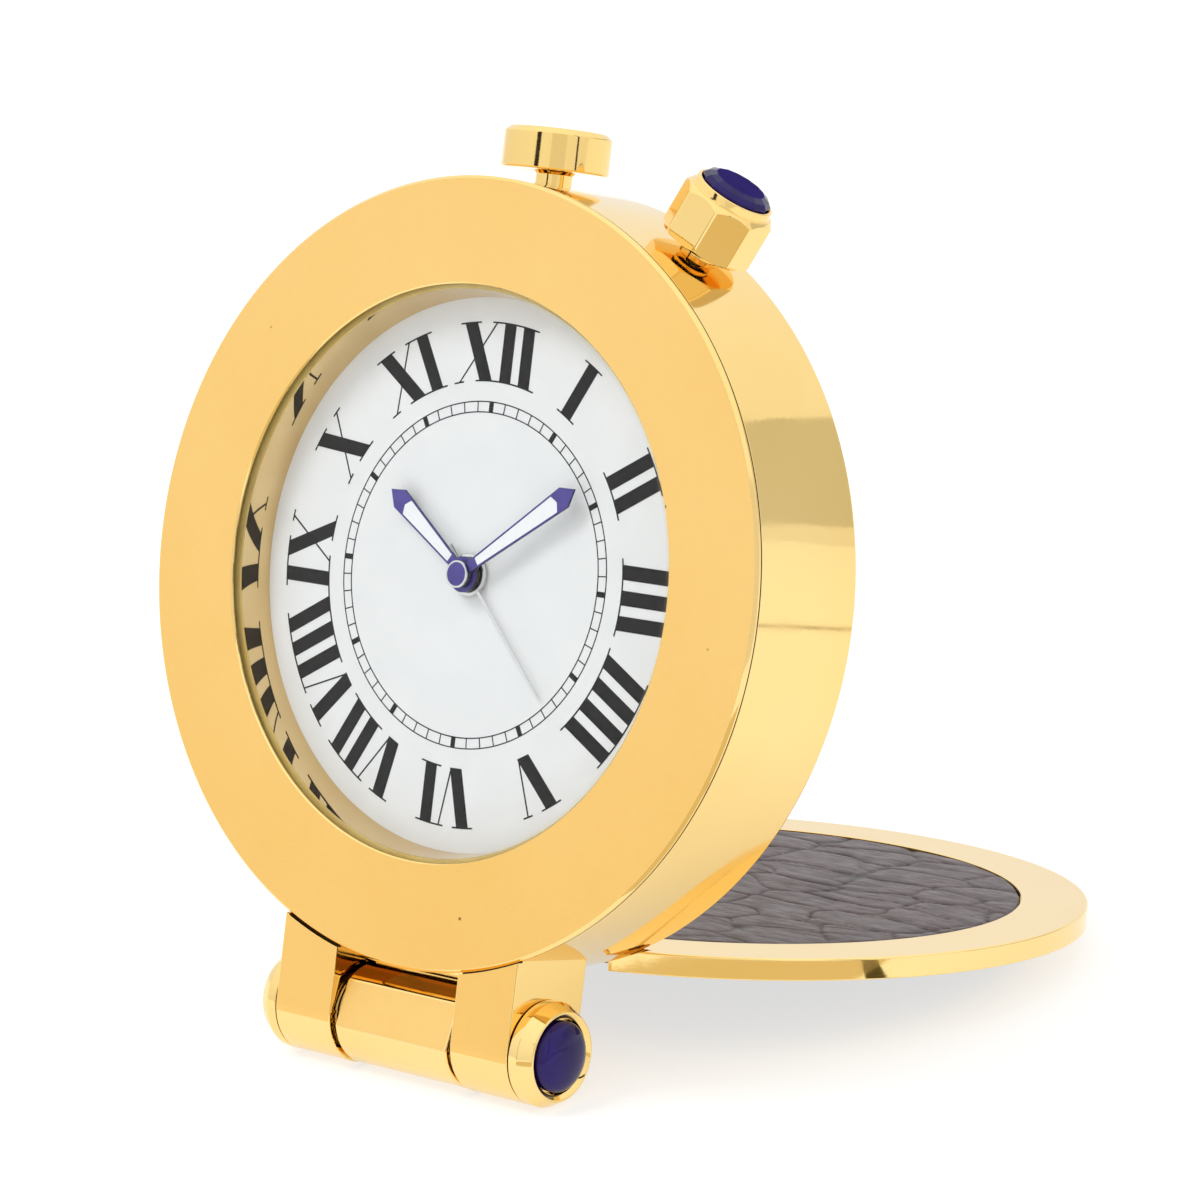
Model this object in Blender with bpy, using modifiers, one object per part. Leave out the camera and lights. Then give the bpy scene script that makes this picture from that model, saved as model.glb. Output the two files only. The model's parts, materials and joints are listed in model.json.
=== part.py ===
"""Folding travel alarm clock: round gold case on two lugs, a hinged cover that becomes its stand.

Three nested frames carry the model. The world stands on the table with its origin under the
middle of the footprint, X to the right and Y to the back. The case frame leans back with the
dial: its Y is the depth behind the bezel's front face and its Z runs up the dial. The cover
frame sits on the hinge pin: its Y runs along the open cover and its Z is the leather side.
"""

from math import asin, atan2, cos, hypot, pi, radians, sin

import bmesh
import bpy
from mathutils import Matrix, Vector

MM = 0.001

# ---------------------------------------------------------------- driving dimensions
CASE_RADIUS = 33.0 * MM
CASE_DEPTH = 13.2 * MM
MID_DEPTH = 8.5 * MM  # depth of the crown's and the alarm button's axes
BEZEL_OPENING = 24.0 * MM
BEZEL_THICKNESS = 1.5 * MM
BEZEL_FLANGE = 0.45 * MM  # the flange that covers the band's front edge
BEZEL_STEP = 30.7 * MM  # radius of the thicker part, which sits inside the band
SEAM = 0.3 * MM  # clearance between two fitted pieces
FINE_GAP = 0.12 * MM  # clearance between watch-size pieces
BAND_BORE = 26.6 * MM
BACK_RECESS = 29.2 * MM
BACK_LEDGE = 11.5 * MM
BACK_FRONT = 11.9 * MM  # inner face of the case back
BACK_RADIUS = 28.9 * MM
CASE_SCREWS = 4
CASE_SCREW_CIRCLE = 28.0 * MM
CASE_SCREW_RADIUS = 0.5 * MM
CASE_SCREW_HEAD = 0.85 * MM
CASE_SCREW_REACH = 2.6 * MM  # thread below the ledge
DIAL_DEPTH = 3.9 * MM
DIAL_THICKNESS = 0.5 * MM

HINGE_DEPTH = 4.4 * MM  # hinge axis behind the bezel face
HINGE_DROP = 37.95 * MM  # hinge axis below the dial centre
LUG_RADIUS = HINGE_DEPTH  # full-round lug ends, flush with the bezel
LUG_INNER = 6.8 * MM
LUG_OUTER = 13.05 * MM
LUG_ROOT = 29.5 * MM  # the lugs grow out of the band's wall, this far below the dial centre
PIN_RADIUS = 1.6 * MM
PIN_BORE = 1.75 * MM
POCKET_RADIUS = 8.7 * MM  # room for the cover's riser as it swings

COVER_RADIUS = 33.4 * MM
COVER_CENTRE = 38.3 * MM  # from the hinge axis, along the cover
COVER_INNER = 5.8 * MM  # the cover's inner face, above the hinge axis when open
COVER_THICKNESS = 1.9 * MM
COVER_NOTCH = 10.1 * MM  # back of the notch between the lugs, clear of the case back
TONGUE_TOP = 7.0 * MM
OPEN_ANGLE = radians(6.5)  # the open cover against the case's depth axis
LEATHER_RADIUS = 27.5 * MM
LEATHER_RECESS = 0.7 * MM
LINING_RADIUS = 27.9 * MM
LINING_THICKNESS = 0.5 * MM

CROWN_ANGLE = radians(30.0)  # one o'clock
CROWN_SEAT = 33.8 * MM  # from the dial centre
CROWN_TURN = radians(6.0)  # where the crown's facets happen to stand
CROWN_SIDES = 8
CROWN_CORNER = 4.12 * MM  # corner radius of the octagon
CROWN_HEIGHT = 4.5 * MM
CROWN_STONE = 3.1 * MM
CROWN_TUBE = 1.7 * MM
BUTTON_SEAT = 34.2 * MM
BUTTON_RADIUS = 4.55 * MM
BUTTON_HEIGHT = 3.5 * MM
BUTTON_STEM = 1.55 * MM
BUTTON_TUBE = 2.2 * MM

MINUTE_ANGLE = radians(54.0)  # nine minutes past ten, clockwise from twelve
HOUR_ANGLE = radians(304.5)
ALARM_ANGLE = radians(135.0)

# The open cover rests on its far edge: its slope follows from the hinge height and its reach.
COVER_REACH = COVER_CENTRE + COVER_RADIUS
COVER_SLOPE = asin(LUG_RADIUS / hypot(COVER_REACH, COVER_INNER)) + atan2(COVER_INNER, COVER_REACH)
CASE_LEAN = COVER_SLOPE + OPEN_ANGLE
COVER_TOP = COVER_INNER + COVER_THICKNESS
FOOTPRINT = COVER_REACH * cos(COVER_SLOPE) + COVER_TOP * sin(COVER_SLOPE) + LUG_RADIUS

# Gear train: tooth counts and the distances between axes, from which the modules follow. Wheel
# axes lie in the dial plane, in plan coordinates (u to the right, v down the dial) measured from
# the dial centre.
CANNON_TEETH = 8
MINUTE_WHEEL_TEETH = 24
MINUTE_PINION_TEETH = 8
HOUR_TEETH = 32
CENTRE_TEETH = 42
THIRD_PINION_TEETH = 7
THIRD_TEETH = 35
ROTOR_TEETH = 7
ALARM_TEETH = 24
ALARM_IDLER_TEETH = 12
MINUTE_WHEEL_DISTANCE = 5.0 * MM
THIRD_DISTANCE = 5.6 * MM
ROTOR_DISTANCE = 4.8 * MM
ALARM_IDLER_DISTANCE = 6.0 * MM
MOTION_MODULE = 2 * MINUTE_WHEEL_DISTANCE / (CANNON_TEETH + MINUTE_WHEEL_TEETH)
HOUR_MODULE = 2 * MINUTE_WHEEL_DISTANCE / (MINUTE_PINION_TEETH + HOUR_TEETH)
CENTRE_MODULE = 2 * THIRD_DISTANCE / (CENTRE_TEETH + THIRD_PINION_TEETH)
ROTOR_MODULE = 2 * ROTOR_DISTANCE / (THIRD_TEETH + ROTOR_TEETH)
ALARM_MODULE = 2 * ALARM_IDLER_DISTANCE / (ALARM_TEETH + ALARM_IDLER_TEETH)


def polar(radius, angle, centre=(0.0, 0.0)):
    """Plan point at a radius and angle around a centre."""
    return (centre[0] + radius * cos(angle), centre[1] + radius * sin(angle))


MINUTE_WHEEL_DIRECTION = radians(-20.0)
THIRD_DIRECTION = radians(160.0)
ROTOR_DIRECTION = radians(110.0)
ALARM_IDLER_DIRECTION = radians(-150.0)
MINUTE_WHEEL_AXIS = polar(MINUTE_WHEEL_DISTANCE, MINUTE_WHEEL_DIRECTION)
THIRD_AXIS = polar(THIRD_DISTANCE, THIRD_DIRECTION)
ROTOR_AXIS = polar(ROTOR_DISTANCE, ROTOR_DIRECTION, THIRD_AXIS)
ALARM_IDLER_AXIS = polar(ALARM_IDLER_DISTANCE, ALARM_IDLER_DIRECTION)

PLATE_DEPTH = 7.0 * MM  # main plate, front face
PLATE_THICKNESS = 0.8 * MM
PLATE_RADIUS = 16.6 * MM
BRIDGE_DEPTH = 10.4 * MM
BRIDGE_THICKNESS = 0.6 * MM
PIVOT_RADIUS = 0.25 * MM
PIVOT_HOLE = 0.37 * MM
BATTERY_RADIUS = 5.7 * MM
BATTERY_AXIS = polar(11.0 * MM, radians(44.0))
STATOR_DEPTH = 9.55 * MM

# ---------------------------------------------------------------- scene, frames, materials
for leftover in list(bpy.data.objects):
    bpy.data.objects.remove(leftover)

clock = bpy.data.collections.new("travel_alarm_clock")
cutters = bpy.data.collections.new("cutters")
bpy.context.scene.collection.children.link(clock)
bpy.context.scene.collection.children.link(cutters)

ORIGIN = (0.0, 0.0, 0.0)
DEPTHWARD = (-pi / 2, 0.0, 0.0)  # local Z to the case's depth, local XY to the plan
SIDEWAYS = (0.0, pi / 2, 0.0)  # local Z to the right
SECTION = (pi / 2, 0.0, pi / 2)  # local XY to the parent's YZ plane, local Z to the right
CROWNWARD = (0.0, CROWN_ANGLE, 0.0)  # local Z out through the crown


def frame_empty(name, parent, location, rotation):
    """Empty that carries a group of pieces."""
    empty = bpy.data.objects.new(name, None)
    clock.objects.link(empty)
    empty.parent = parent
    empty.location = location
    empty.rotation_euler = rotation
    return empty


hinge_point = Vector((0.0, LUG_RADIUS - FOOTPRINT / 2, LUG_RADIUS))
case_turn = Matrix.Rotation(-CASE_LEAN, 3, "X")
case_origin = hinge_point - case_turn @ Vector((0.0, HINGE_DEPTH, -HINGE_DROP))
case_frame = frame_empty("case_frame", None, case_origin, (-CASE_LEAN, 0.0, 0.0))
hinge_location = (0.0, HINGE_DEPTH, -HINGE_DROP)
hinge_frame = frame_empty("hinge_frame", case_frame, hinge_location, (0.0, 0.0, 0.0))
cover_frame = frame_empty("cover_frame_axis", hinge_frame, (0.0, 0.0, 0.0), (OPEN_ANGLE, 0.0, 0.0))

FINISHES = {
    "satin_gold": ((0.90, 0.61, 0.22), 0.38, 1.0),
    "polished_gold": ((0.93, 0.64, 0.20), 0.12, 1.0),
    "dial_white": ((0.86, 0.87, 0.88), 0.5, 0.0),
    "crystal_glass": ((0.95, 0.97, 0.98), 0.03, 0.0),
    "blue_steel": ((0.05, 0.03, 0.28), 0.25, 0.8),
    "silver": ((0.75, 0.75, 0.76), 0.25, 1.0),
    "cabochon_blue": ((0.03, 0.015, 0.16), 0.06, 0.0),
    "leather_brown": ((0.16, 0.11, 0.11), 0.45, 0.0),
    "suede_black": ((0.03, 0.028, 0.03), 0.9, 0.0),
    "movement_brass": ((0.78, 0.60, 0.28), 0.3, 1.0),
    "spring_steel": ((0.55, 0.56, 0.58), 0.25, 1.0),
    "moulded_plastic": ((0.75, 0.75, 0.72), 0.5, 0.0),
    "black_plastic": ((0.04, 0.04, 0.045), 0.5, 0.0),
    "board_green": ((0.03, 0.20, 0.08), 0.5, 0.0),
    "copper_wire": ((0.70, 0.30, 0.14), 0.35, 1.0),
    "rubber_black": ((0.03, 0.03, 0.03), 0.8, 0.0),
}


def finish(piece, look):
    """Gives a piece its own Principled material."""
    colour, roughness, metallic = FINISHES[look]
    material = bpy.data.materials.new(piece.name)
    material.use_nodes = True
    shader = material.node_tree.nodes["Principled BSDF"]
    shader.inputs["Base Color"].default_value = (*colour, 1.0)
    shader.inputs["Roughness"].default_value = roughness
    shader.inputs["Metallic"].default_value = metallic
    material.diffuse_color = (*colour, 1.0)
    piece.data.materials.clear()
    piece.data.materials.append(material)


# ---------------------------------------------------------------- modelling helpers
OUTER_STEPS = 48  # facets round the case, the bezel and the cover
INNER_STEPS = 40  # facets round the rings inside the case


def put(name, mesh, look, parent, at=(0.0, 0.0, 0.0), turn=(0.0, 0.0, 0.0)):
    """Places a mesh as a piece, or as a cutter when it has no look."""
    piece = bpy.data.objects.new(name, mesh)
    piece.parent = parent
    piece.location = at
    piece.rotation_euler = turn
    if look is None:
        cutters.objects.link(piece)
        piece.hide_render = True
        piece.display_type = "WIRE"
    else:
        clock.objects.link(piece)
        finish(piece, look)
    return piece


def mesh_from(build, name):
    """Mesh from a bmesh filled by a function."""
    shape = bmesh.new()
    build(shape)
    mesh = bpy.data.meshes.new(name)
    shape.to_mesh(mesh)
    shape.free()
    return mesh


def rod_mesh(name, radius, low, high, segments=24, top_radius=None):
    """Cylinder, or cone, along local Z."""
    middle = Matrix.Translation((0.0, 0.0, (low + high) / 2))
    upper = radius if top_radius is None else top_radius

    def build(shape):
        bmesh.ops.create_cone(
            shape,
            cap_ends=True,
            segments=segments,
            radius1=radius,
            radius2=upper,
            depth=high - low,
            matrix=middle,
        )

    mesh = mesh_from(build, name)
    mesh.shade_smooth()
    mesh.set_sharp_from_angle(angle=radians(35.0))
    return mesh


def box_mesh(name, low, high):
    """Box between two corners."""
    size = [b - a for a, b in zip(low, high)]
    centre = [(a + b) / 2 for a, b in zip(low, high)]
    matrix = Matrix.Translation(centre) @ Matrix.Diagonal((*size, 1.0))
    return mesh_from(lambda shape: bmesh.ops.create_cube(shape, size=1.0, matrix=matrix), name)


def turned(name, profile, look, parent, at=ORIGIN, turn=DEPTHWARD, steps=INNER_STEPS, ring=False):
    """Turned piece: (radius, height) points down the outer side, screwed round local Z."""
    corners = [(radius, 0.0, height) for radius, height in profile]
    edges = [(i, i + 1) for i in range(len(corners) - 1)]
    if ring:
        edges.append((len(corners) - 1, 0))
    mesh = bpy.data.meshes.new(name)
    mesh.from_pydata(corners, edges, [])
    piece = put(name, mesh, look, parent, at, turn)
    screw = piece.modifiers.new("turn", "SCREW")
    screw.steps = steps
    screw.render_steps = steps
    screw.use_merge_vertices = True
    screw.merge_threshold = 0.000001
    screw.use_smooth_shade = False
    return piece


def ring(name, inner, outer, low, high, look, parent, at=ORIGIN, turn=DEPTHWARD, steps=INNER_STEPS):
    """Plain ring along local Z."""
    profile = [(inner, high), (outer, high), (outer, low), (inner, low)]
    return turned(name, profile, look, parent, at, turn, steps, ring=True)


def disc(name, radius, low, high, look, parent, at=(0.0, 0.0, 0.0), turn=DEPTHWARD, steps=32):
    """Plain disc along local Z."""
    return put(name, rod_mesh(name, radius, low, high, steps), look, parent, at, turn)


def flat_mesh(name, loops, low, high):
    """Flat plate between two heights: the first loop is its outline, the rest are holes."""
    curve = bpy.data.curves.new(name, "CURVE")
    curve.dimensions = "2D"
    curve.fill_mode = "BOTH"
    curve.extrude = (high - low) / 2
    curve.render_resolution_u = 0
    for loop in loops:
        spline = curve.splines.new("POLY")
        spline.points.add(len(loop) - 1)
        for point, (u, v) in zip(spline.points, loop):
            point.co = (u, v, 0.0, 1.0)
        spline.use_cyclic_u = True
    guide = bpy.data.objects.new(name + "_outline", curve)
    cutters.objects.link(guide)
    solid = bpy.data.meshes.new_from_object(guide.evaluated_get(bpy.context.evaluated_depsgraph_get()))
    bpy.data.objects.remove(guide)
    bpy.data.curves.remove(curve)
    shape = bmesh.new()
    shape.from_mesh(solid)
    bmesh.ops.remove_doubles(shape, verts=shape.verts, dist=0.000001)
    bmesh.ops.translate(shape, verts=shape.verts, vec=(0.0, 0.0, (low + high) / 2))
    bmesh.ops.recalc_face_normals(shape, faces=shape.faces)
    shape.to_mesh(solid)
    shape.free()
    solid.name = name
    return solid


def boolean(piece, tool, operation):
    """Keeps a Boolean on a piece."""
    step = piece.modifiers.new(tool.name, "BOOLEAN")
    step.operation = operation
    step.solver = "EXACT"
    step.object = tool


def cut(piece, name, mesh, parent=None, at=None, turn=None):
    """Removes a mesh from a piece; it takes the piece's own frame unless another is given."""
    tool = put(
        piece.name + "_" + name,
        mesh,
        None,
        piece.parent if parent is None else parent,
        piece.location if at is None else at,
        piece.rotation_euler if turn is None else turn,
    )
    boolean(piece, tool, "DIFFERENCE")


def join(piece, name, mesh, parent=None, at=None, turn=None):
    """Adds a mesh to a piece; it takes the piece's own frame unless another is given."""
    tool = put(
        piece.name + "_" + name,
        mesh,
        None,
        piece.parent if parent is None else parent,
        piece.location if at is None else at,
        piece.rotation_euler if turn is None else turn,
    )
    boolean(piece, tool, "UNION")


def circle(radius, count, centre=(0.0, 0.0), start=0.0):
    """Points round a circle."""
    return [polar(radius, start + 2 * pi * i / count, centre) for i in range(count)]


def arc(radius, start, end, count, centre=(0.0, 0.0)):
    """Points along an arc, both ends included."""
    return [polar(radius, start + (end - start) * i / (count - 1), centre) for i in range(count)]


def plan(point, depth=0.0):
    """Case-frame location of a plan point."""
    return (point[0], depth, -point[1])


# ---------------------------------------------------------------- gears
TOOTH_ROOT = 0.22  # half a tooth's width at its root, as a share of the pitch
TOOTH_TIP = 0.08
ADDENDUM = 0.8  # in modules
DEDENDUM = 1.1


def gear_outline(teeth, module, phase):
    """Outline of a spur gear with one tooth centred on the phase angle."""
    pitch = 2 * pi / teeth
    root = module * (teeth / 2 - DEDENDUM)
    tip = module * (teeth / 2 + ADDENDUM)
    outline = []
    for i in range(teeth):
        middle = phase + i * pitch
        outline.append(polar(root, middle - TOOTH_ROOT * pitch))
        outline.append(polar(tip, middle - TOOTH_TIP * pitch))
        outline.append(polar(tip, middle + TOOTH_TIP * pitch))
        outline.append(polar(root, middle + TOOTH_ROOT * pitch))
    return outline


def gap_towards(direction, teeth):
    """Phase that leaves a gap facing back along a direction, ready for a neighbour's tooth."""
    return direction + pi + pi / teeth


def gear_mesh(name, teeth, module, phase, low, high, bore=None):
    """Spur gear between two depths, with an optional round bore."""
    loops = [gear_outline(teeth, module, phase)]
    if bore is not None:
        loops.append(circle(bore, 12))
    return flat_mesh(name, loops, low, high)


# ---------------------------------------------------------------- case
def lug_mesh(name, low, high):
    """Lug between two X positions: straight sides down to a full-round end on the hinge axis."""
    top = HINGE_DROP - LUG_ROOT
    end = arc(LUG_RADIUS, -pi, 0.0, 13)
    outline = [(-LUG_RADIUS, top), *end, (LUG_RADIUS, top)]
    return flat_mesh(name, [outline], low, high)


def make_case_band():
    """Drum with its two lugs, stepped in front for the bezel and behind for the case back."""
    front = BEZEL_FLANGE + SEAM
    profile = [
        (BACK_RECESS, CASE_DEPTH),
        (CASE_RADIUS, CASE_DEPTH),
        (CASE_RADIUS, front),
        (BAND_BORE, front),
        (BAND_BORE, BACK_LEDGE),
        (BACK_RECESS, BACK_LEDGE),
    ]
    band = turned("case_band", profile, "polished_gold", case_frame, steps=OUTER_STEPS, ring=True)
    for side, low, high in (("right", LUG_INNER, LUG_OUTER), ("left", -LUG_OUTER, -LUG_INNER)):
        join(band, side + "_lug", lug_mesh(side + "_lug", low, high), hinge_frame, (0, 0, 0), SECTION)
    cut(band, "flange_room", rod_mesh("flange_room", CASE_RADIUS + SEAM, -MM, front, OUTER_STEPS))
    seat = rod_mesh("bezel_seat", BEZEL_STEP + SEAM, -MM, BEZEL_THICKNESS + SEAM, OUTER_STEPS)
    cut(band, "bezel_seat", seat)
    pin_bore = rod_mesh("pin_bore", PIN_BORE, -20 * MM, 20 * MM, 24)
    cut(band, "pin_bore", pin_bore, hinge_frame, (0, 0, 0), SIDEWAYS)
    pocket_round = rod_mesh("pocket_round", POCKET_RADIUS, -LUG_INNER, LUG_INNER, 32)
    cut(band, "pocket_round", pocket_round, hinge_frame, (0, 0, 0), SIDEWAYS)
    slab_low = (-LUG_INNER, -2.0 * MM, -POCKET_RADIUS)
    slab_high = (LUG_INNER, CASE_DEPTH, TONGUE_TOP + SEAM)
    cut(band, "pocket_slab", box_mesh("pocket_slab", slab_low, slab_high), cover_frame, (0, 0, 0), (0, 0, 0))
    across = (0.0, MID_DEPTH, 0.0)
    crown_hole = rod_mesh("crown_hole", CROWN_TUBE + FINE_GAP, 20 * MM, 40 * MM, 20)
    cut(band, "crown_hole", crown_hole, case_frame, across, CROWNWARD)
    button_hole = rod_mesh("button_hole", BUTTON_TUBE + FINE_GAP, 20 * MM, 40 * MM, 24)
    cut(band, "button_hole", button_hole, case_frame, across, (0, 0, 0))
    for i in range(CASE_SCREWS):
        hole_low = BACK_LEDGE - CASE_SCREW_REACH - 0.4 * MM
        hole = rod_mesh("screw_hole", CASE_SCREW_RADIUS + FINE_GAP, hole_low, BACK_LEDGE + MM, 12)
        cut(band, f"screw_hole_{i + 1}", hole, case_frame, plan(case_screw_place(i)), DEPTHWARD)


def case_screw_place(i):
    """Plan position of a case-back screw."""
    return polar(CASE_SCREW_CIRCLE, pi / 4 + i * pi / 2)


def make_case_back():
    """Back plate, the screws sunk in it and the gasket under it."""
    plate = (BACK_RADIUS, BACK_FRONT, CASE_DEPTH)
    back = disc("case_back", *plate, "satin_gold", case_frame, steps=OUTER_STEPS)
    head_depth = CASE_DEPTH - 0.6 * MM
    for i in range(CASE_SCREWS):
        place = plan(case_screw_place(i))
        through = rod_mesh("through", CASE_SCREW_RADIUS + FINE_GAP, BACK_FRONT - SEAM, CASE_DEPTH + SEAM, 12)
        cut(back, f"screw_through_{i + 1}", through, case_frame, place, DEPTHWARD)
        sink = rod_mesh("sink", CASE_SCREW_HEAD + FINE_GAP, head_depth - FINE_GAP, CASE_DEPTH + SEAM, 16)
        cut(back, f"screw_sink_{i + 1}", sink, case_frame, place, DEPTHWARD)
        make_screw(
            f"case_screw_{i + 1}",
            case_screw_place(i),
            (CASE_SCREW_HEAD, head_depth, CASE_DEPTH - 0.05 * MM),
            (CASE_SCREW_RADIUS, BACK_LEDGE - CASE_SCREW_REACH),
            "polished_gold",
        )
    gasket_inner = BAND_BORE + 0.25 * MM
    gasket_outer = gasket_inner + 0.4 * MM
    gasket_low = BACK_LEDGE + 0.05 * MM
    gasket_high = BACK_FRONT - 0.05 * MM
    ring("back_gasket", gasket_inner, gasket_outer, gasket_low, gasket_high, "rubber_black", case_frame)


def make_screw(name, place, head, shank, look):
    """Slotted screw: head (radius, low, high), shank (radius, low), along the depth."""
    head_radius, head_low, head_high = head
    shank_radius, shank_low = shank
    profile = [
        (0.0, head_high),
        (head_radius, head_high),
        (head_radius, head_low),
        (shank_radius, head_low),
        (shank_radius, shank_low),
        (0.0, shank_low),
    ]
    screw = turned(name, profile, look, case_frame, plan(place), steps=16)
    slot_low = (-head_radius * 1.2, -0.1 * MM, head_high - 0.22 * MM)
    slot_high = (head_radius * 1.2, 0.1 * MM, head_high + 0.1 * MM)
    cut(screw, "slot", box_mesh("slot", slot_low, slot_high))


def make_front_bezel():
    """Satin ring: a lip over the glass, a thin flange over the band and a spigot into its bore."""
    lip = 0.25 * MM
    rabbet = 25.3 * MM
    spigot_inner = 25.6 * MM
    spigot_outer = 26.35 * MM
    spigot_end = 3.5 * MM
    chamfer = 0.25 * MM
    profile = [
        (spigot_inner, spigot_end),
        (spigot_outer, spigot_end),
        (spigot_outer, BEZEL_THICKNESS),
        (BEZEL_STEP, BEZEL_THICKNESS),
        (BEZEL_STEP, BEZEL_FLANGE),
        (CASE_RADIUS, BEZEL_FLANGE),
        (CASE_RADIUS, chamfer),
        (CASE_RADIUS - chamfer, 0.0),
        (BEZEL_OPENING, 0.0),
        (BEZEL_OPENING, lip),
        (rabbet, lip),
        (rabbet, BEZEL_THICKNESS),
        (spigot_inner, BEZEL_THICKNESS),
    ]
    turned("front_bezel", profile, "satin_gold", case_frame, steps=OUTER_STEPS, ring=True)


def make_glazing():
    """Flat glass under the bezel's lip, its gasket, and the slightly conical wall down to the dial."""
    front = 0.35 * MM
    back = 0.75 * MM
    bevel = 0.12 * MM
    radius = 24.7 * MM
    profile = [(0.0, back), (radius, back), (radius, front + bevel), (radius - bevel, front), (0.0, front)]
    turned("crystal", profile, "crystal_glass", case_frame, steps=INNER_STEPS)
    ring("crystal_gasket", 24.85 * MM, 25.15 * MM, front, back, "moulded_plastic", case_frame)
    wall_top = back + 0.1 * MM
    wall_foot = DIAL_DEPTH - 0.15 * MM
    outer = 25.15 * MM
    wall = [(23.2 * MM, wall_foot), (outer, wall_foot), (outer, wall_top), (23.66 * MM, wall_top)]
    turned("rehaut_ring", wall, "polished_gold", case_frame, ring=True)


# ---------------------------------------------------------------- dial and hands
ARBOR_RADIUS = 0.45 * MM
HOUR_PIPE = (0.57 * MM, 0.85 * MM)
ALARM_PIPE = (0.97 * MM, 1.25 * MM)
HAND_THICKNESS = 0.2 * MM
ALARM_HAND_DEPTH = 3.3 * MM
HOUR_HAND_DEPTH = 2.75 * MM
MINUTE_HAND_DEPTH = 2.2 * MM


def make_dial():
    """Dial disc with its centre hole."""
    back = DIAL_DEPTH + DIAL_THICKNESS
    ring("dial", 1.45 * MM, 26.2 * MM, DIAL_DEPTH, back, "dial_white", case_frame)


def clockwise(points, angle):
    """Turns points drawn towards twelve o'clock to a clockwise angle, in plan coordinates."""
    return [(y * sin(angle) + x * cos(angle), x * sin(angle) - y * cos(angle)) for x, y in points]


def hand_outline(reach, neck, belly, tip):
    """Baton that widens from its neck to its belly and ends in a spade point."""
    shoulder = reach - tip
    return [(neck, 0.0), (belly, shoulder), (0.0, reach), (-belly, shoulder), (-neck, 0.0)]


def make_hand(name, depth, angle, outline, hub, hub_low, hub_high, bore, look):
    """Hand: a flat blade joined to a round hub that is pressed on its pipe."""
    hand = disc(name, hub, hub_low, hub_high, look, case_frame, steps=24)
    blade = flat_mesh(name + "_blade", [clockwise(outline, angle)], depth, depth + HAND_THICKNESS)
    join(hand, "blade", blade)
    cut(hand, "bore", rod_mesh("bore", *bore, 16))


def make_hands():
    """Alarm, hour and minute hand, from the dial outwards."""
    tail = -3.2 * MM
    point = 12.9 * MM
    alarm_outline = [(0.3 * MM, tail), (0.14 * MM, point), (-0.14 * MM, point), (-0.3 * MM, tail)]
    alarm_bore = (ALARM_PIPE[1] + 0.1 * MM, ALARM_HAND_DEPTH - 0.5 * MM, DIAL_DEPTH)
    make_hand(
        "alarm_hand",
        ALARM_HAND_DEPTH,
        ALARM_ANGLE,
        alarm_outline,
        1.8 * MM,
        ALARM_HAND_DEPTH - 0.05 * MM,
        ALARM_HAND_DEPTH + 0.3 * MM,
        alarm_bore,
        "silver",
    )
    hour_outline = hand_outline(11.0 * MM, 0.42 * MM, 0.95 * MM, 1.3 * MM)
    hour_bore = (HOUR_PIPE[1] + 0.1 * MM, HOUR_HAND_DEPTH - 0.5 * MM, HOUR_HAND_DEPTH + 1.0 * MM)
    make_hand(
        "hour_hand",
        HOUR_HAND_DEPTH,
        HOUR_ANGLE,
        hour_outline,
        1.5 * MM,
        HOUR_HAND_DEPTH - 0.1 * MM,
        HOUR_HAND_DEPTH + 0.3 * MM,
        hour_bore,
        "blue_steel",
    )
    minute_outline = hand_outline(14.1 * MM, 0.42 * MM, 0.95 * MM, 1.4 * MM)
    minute_bore = (ARBOR_RADIUS + 0.1 * MM, MINUTE_HAND_DEPTH, MINUTE_HAND_DEPTH + 1.0 * MM)
    make_hand(
        "minute_hand",
        MINUTE_HAND_DEPTH,
        MINUTE_ANGLE,
        minute_outline,
        1.15 * MM,
        MINUTE_HAND_DEPTH - 0.3 * MM,
        MINUTE_HAND_DEPTH + 0.25 * MM,
        minute_bore,
        "blue_steel",
    )


# ---------------------------------------------------------------- movement
HOUR_LAYER = (5.5 * MM, 5.9 * MM)
MINUTE_LAYER = (6.2 * MM, 6.6 * MM)
ALARM_LAYER = (4.75 * MM, 5.1 * MM)
CENTRE_LAYER = (8.15 * MM, 8.5 * MM)
THIRD_LAYER = (8.85 * MM, 9.2 * MM)
POST_RADIUS = 0.25 * MM
IDLER_POST = 0.4 * MM


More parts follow.
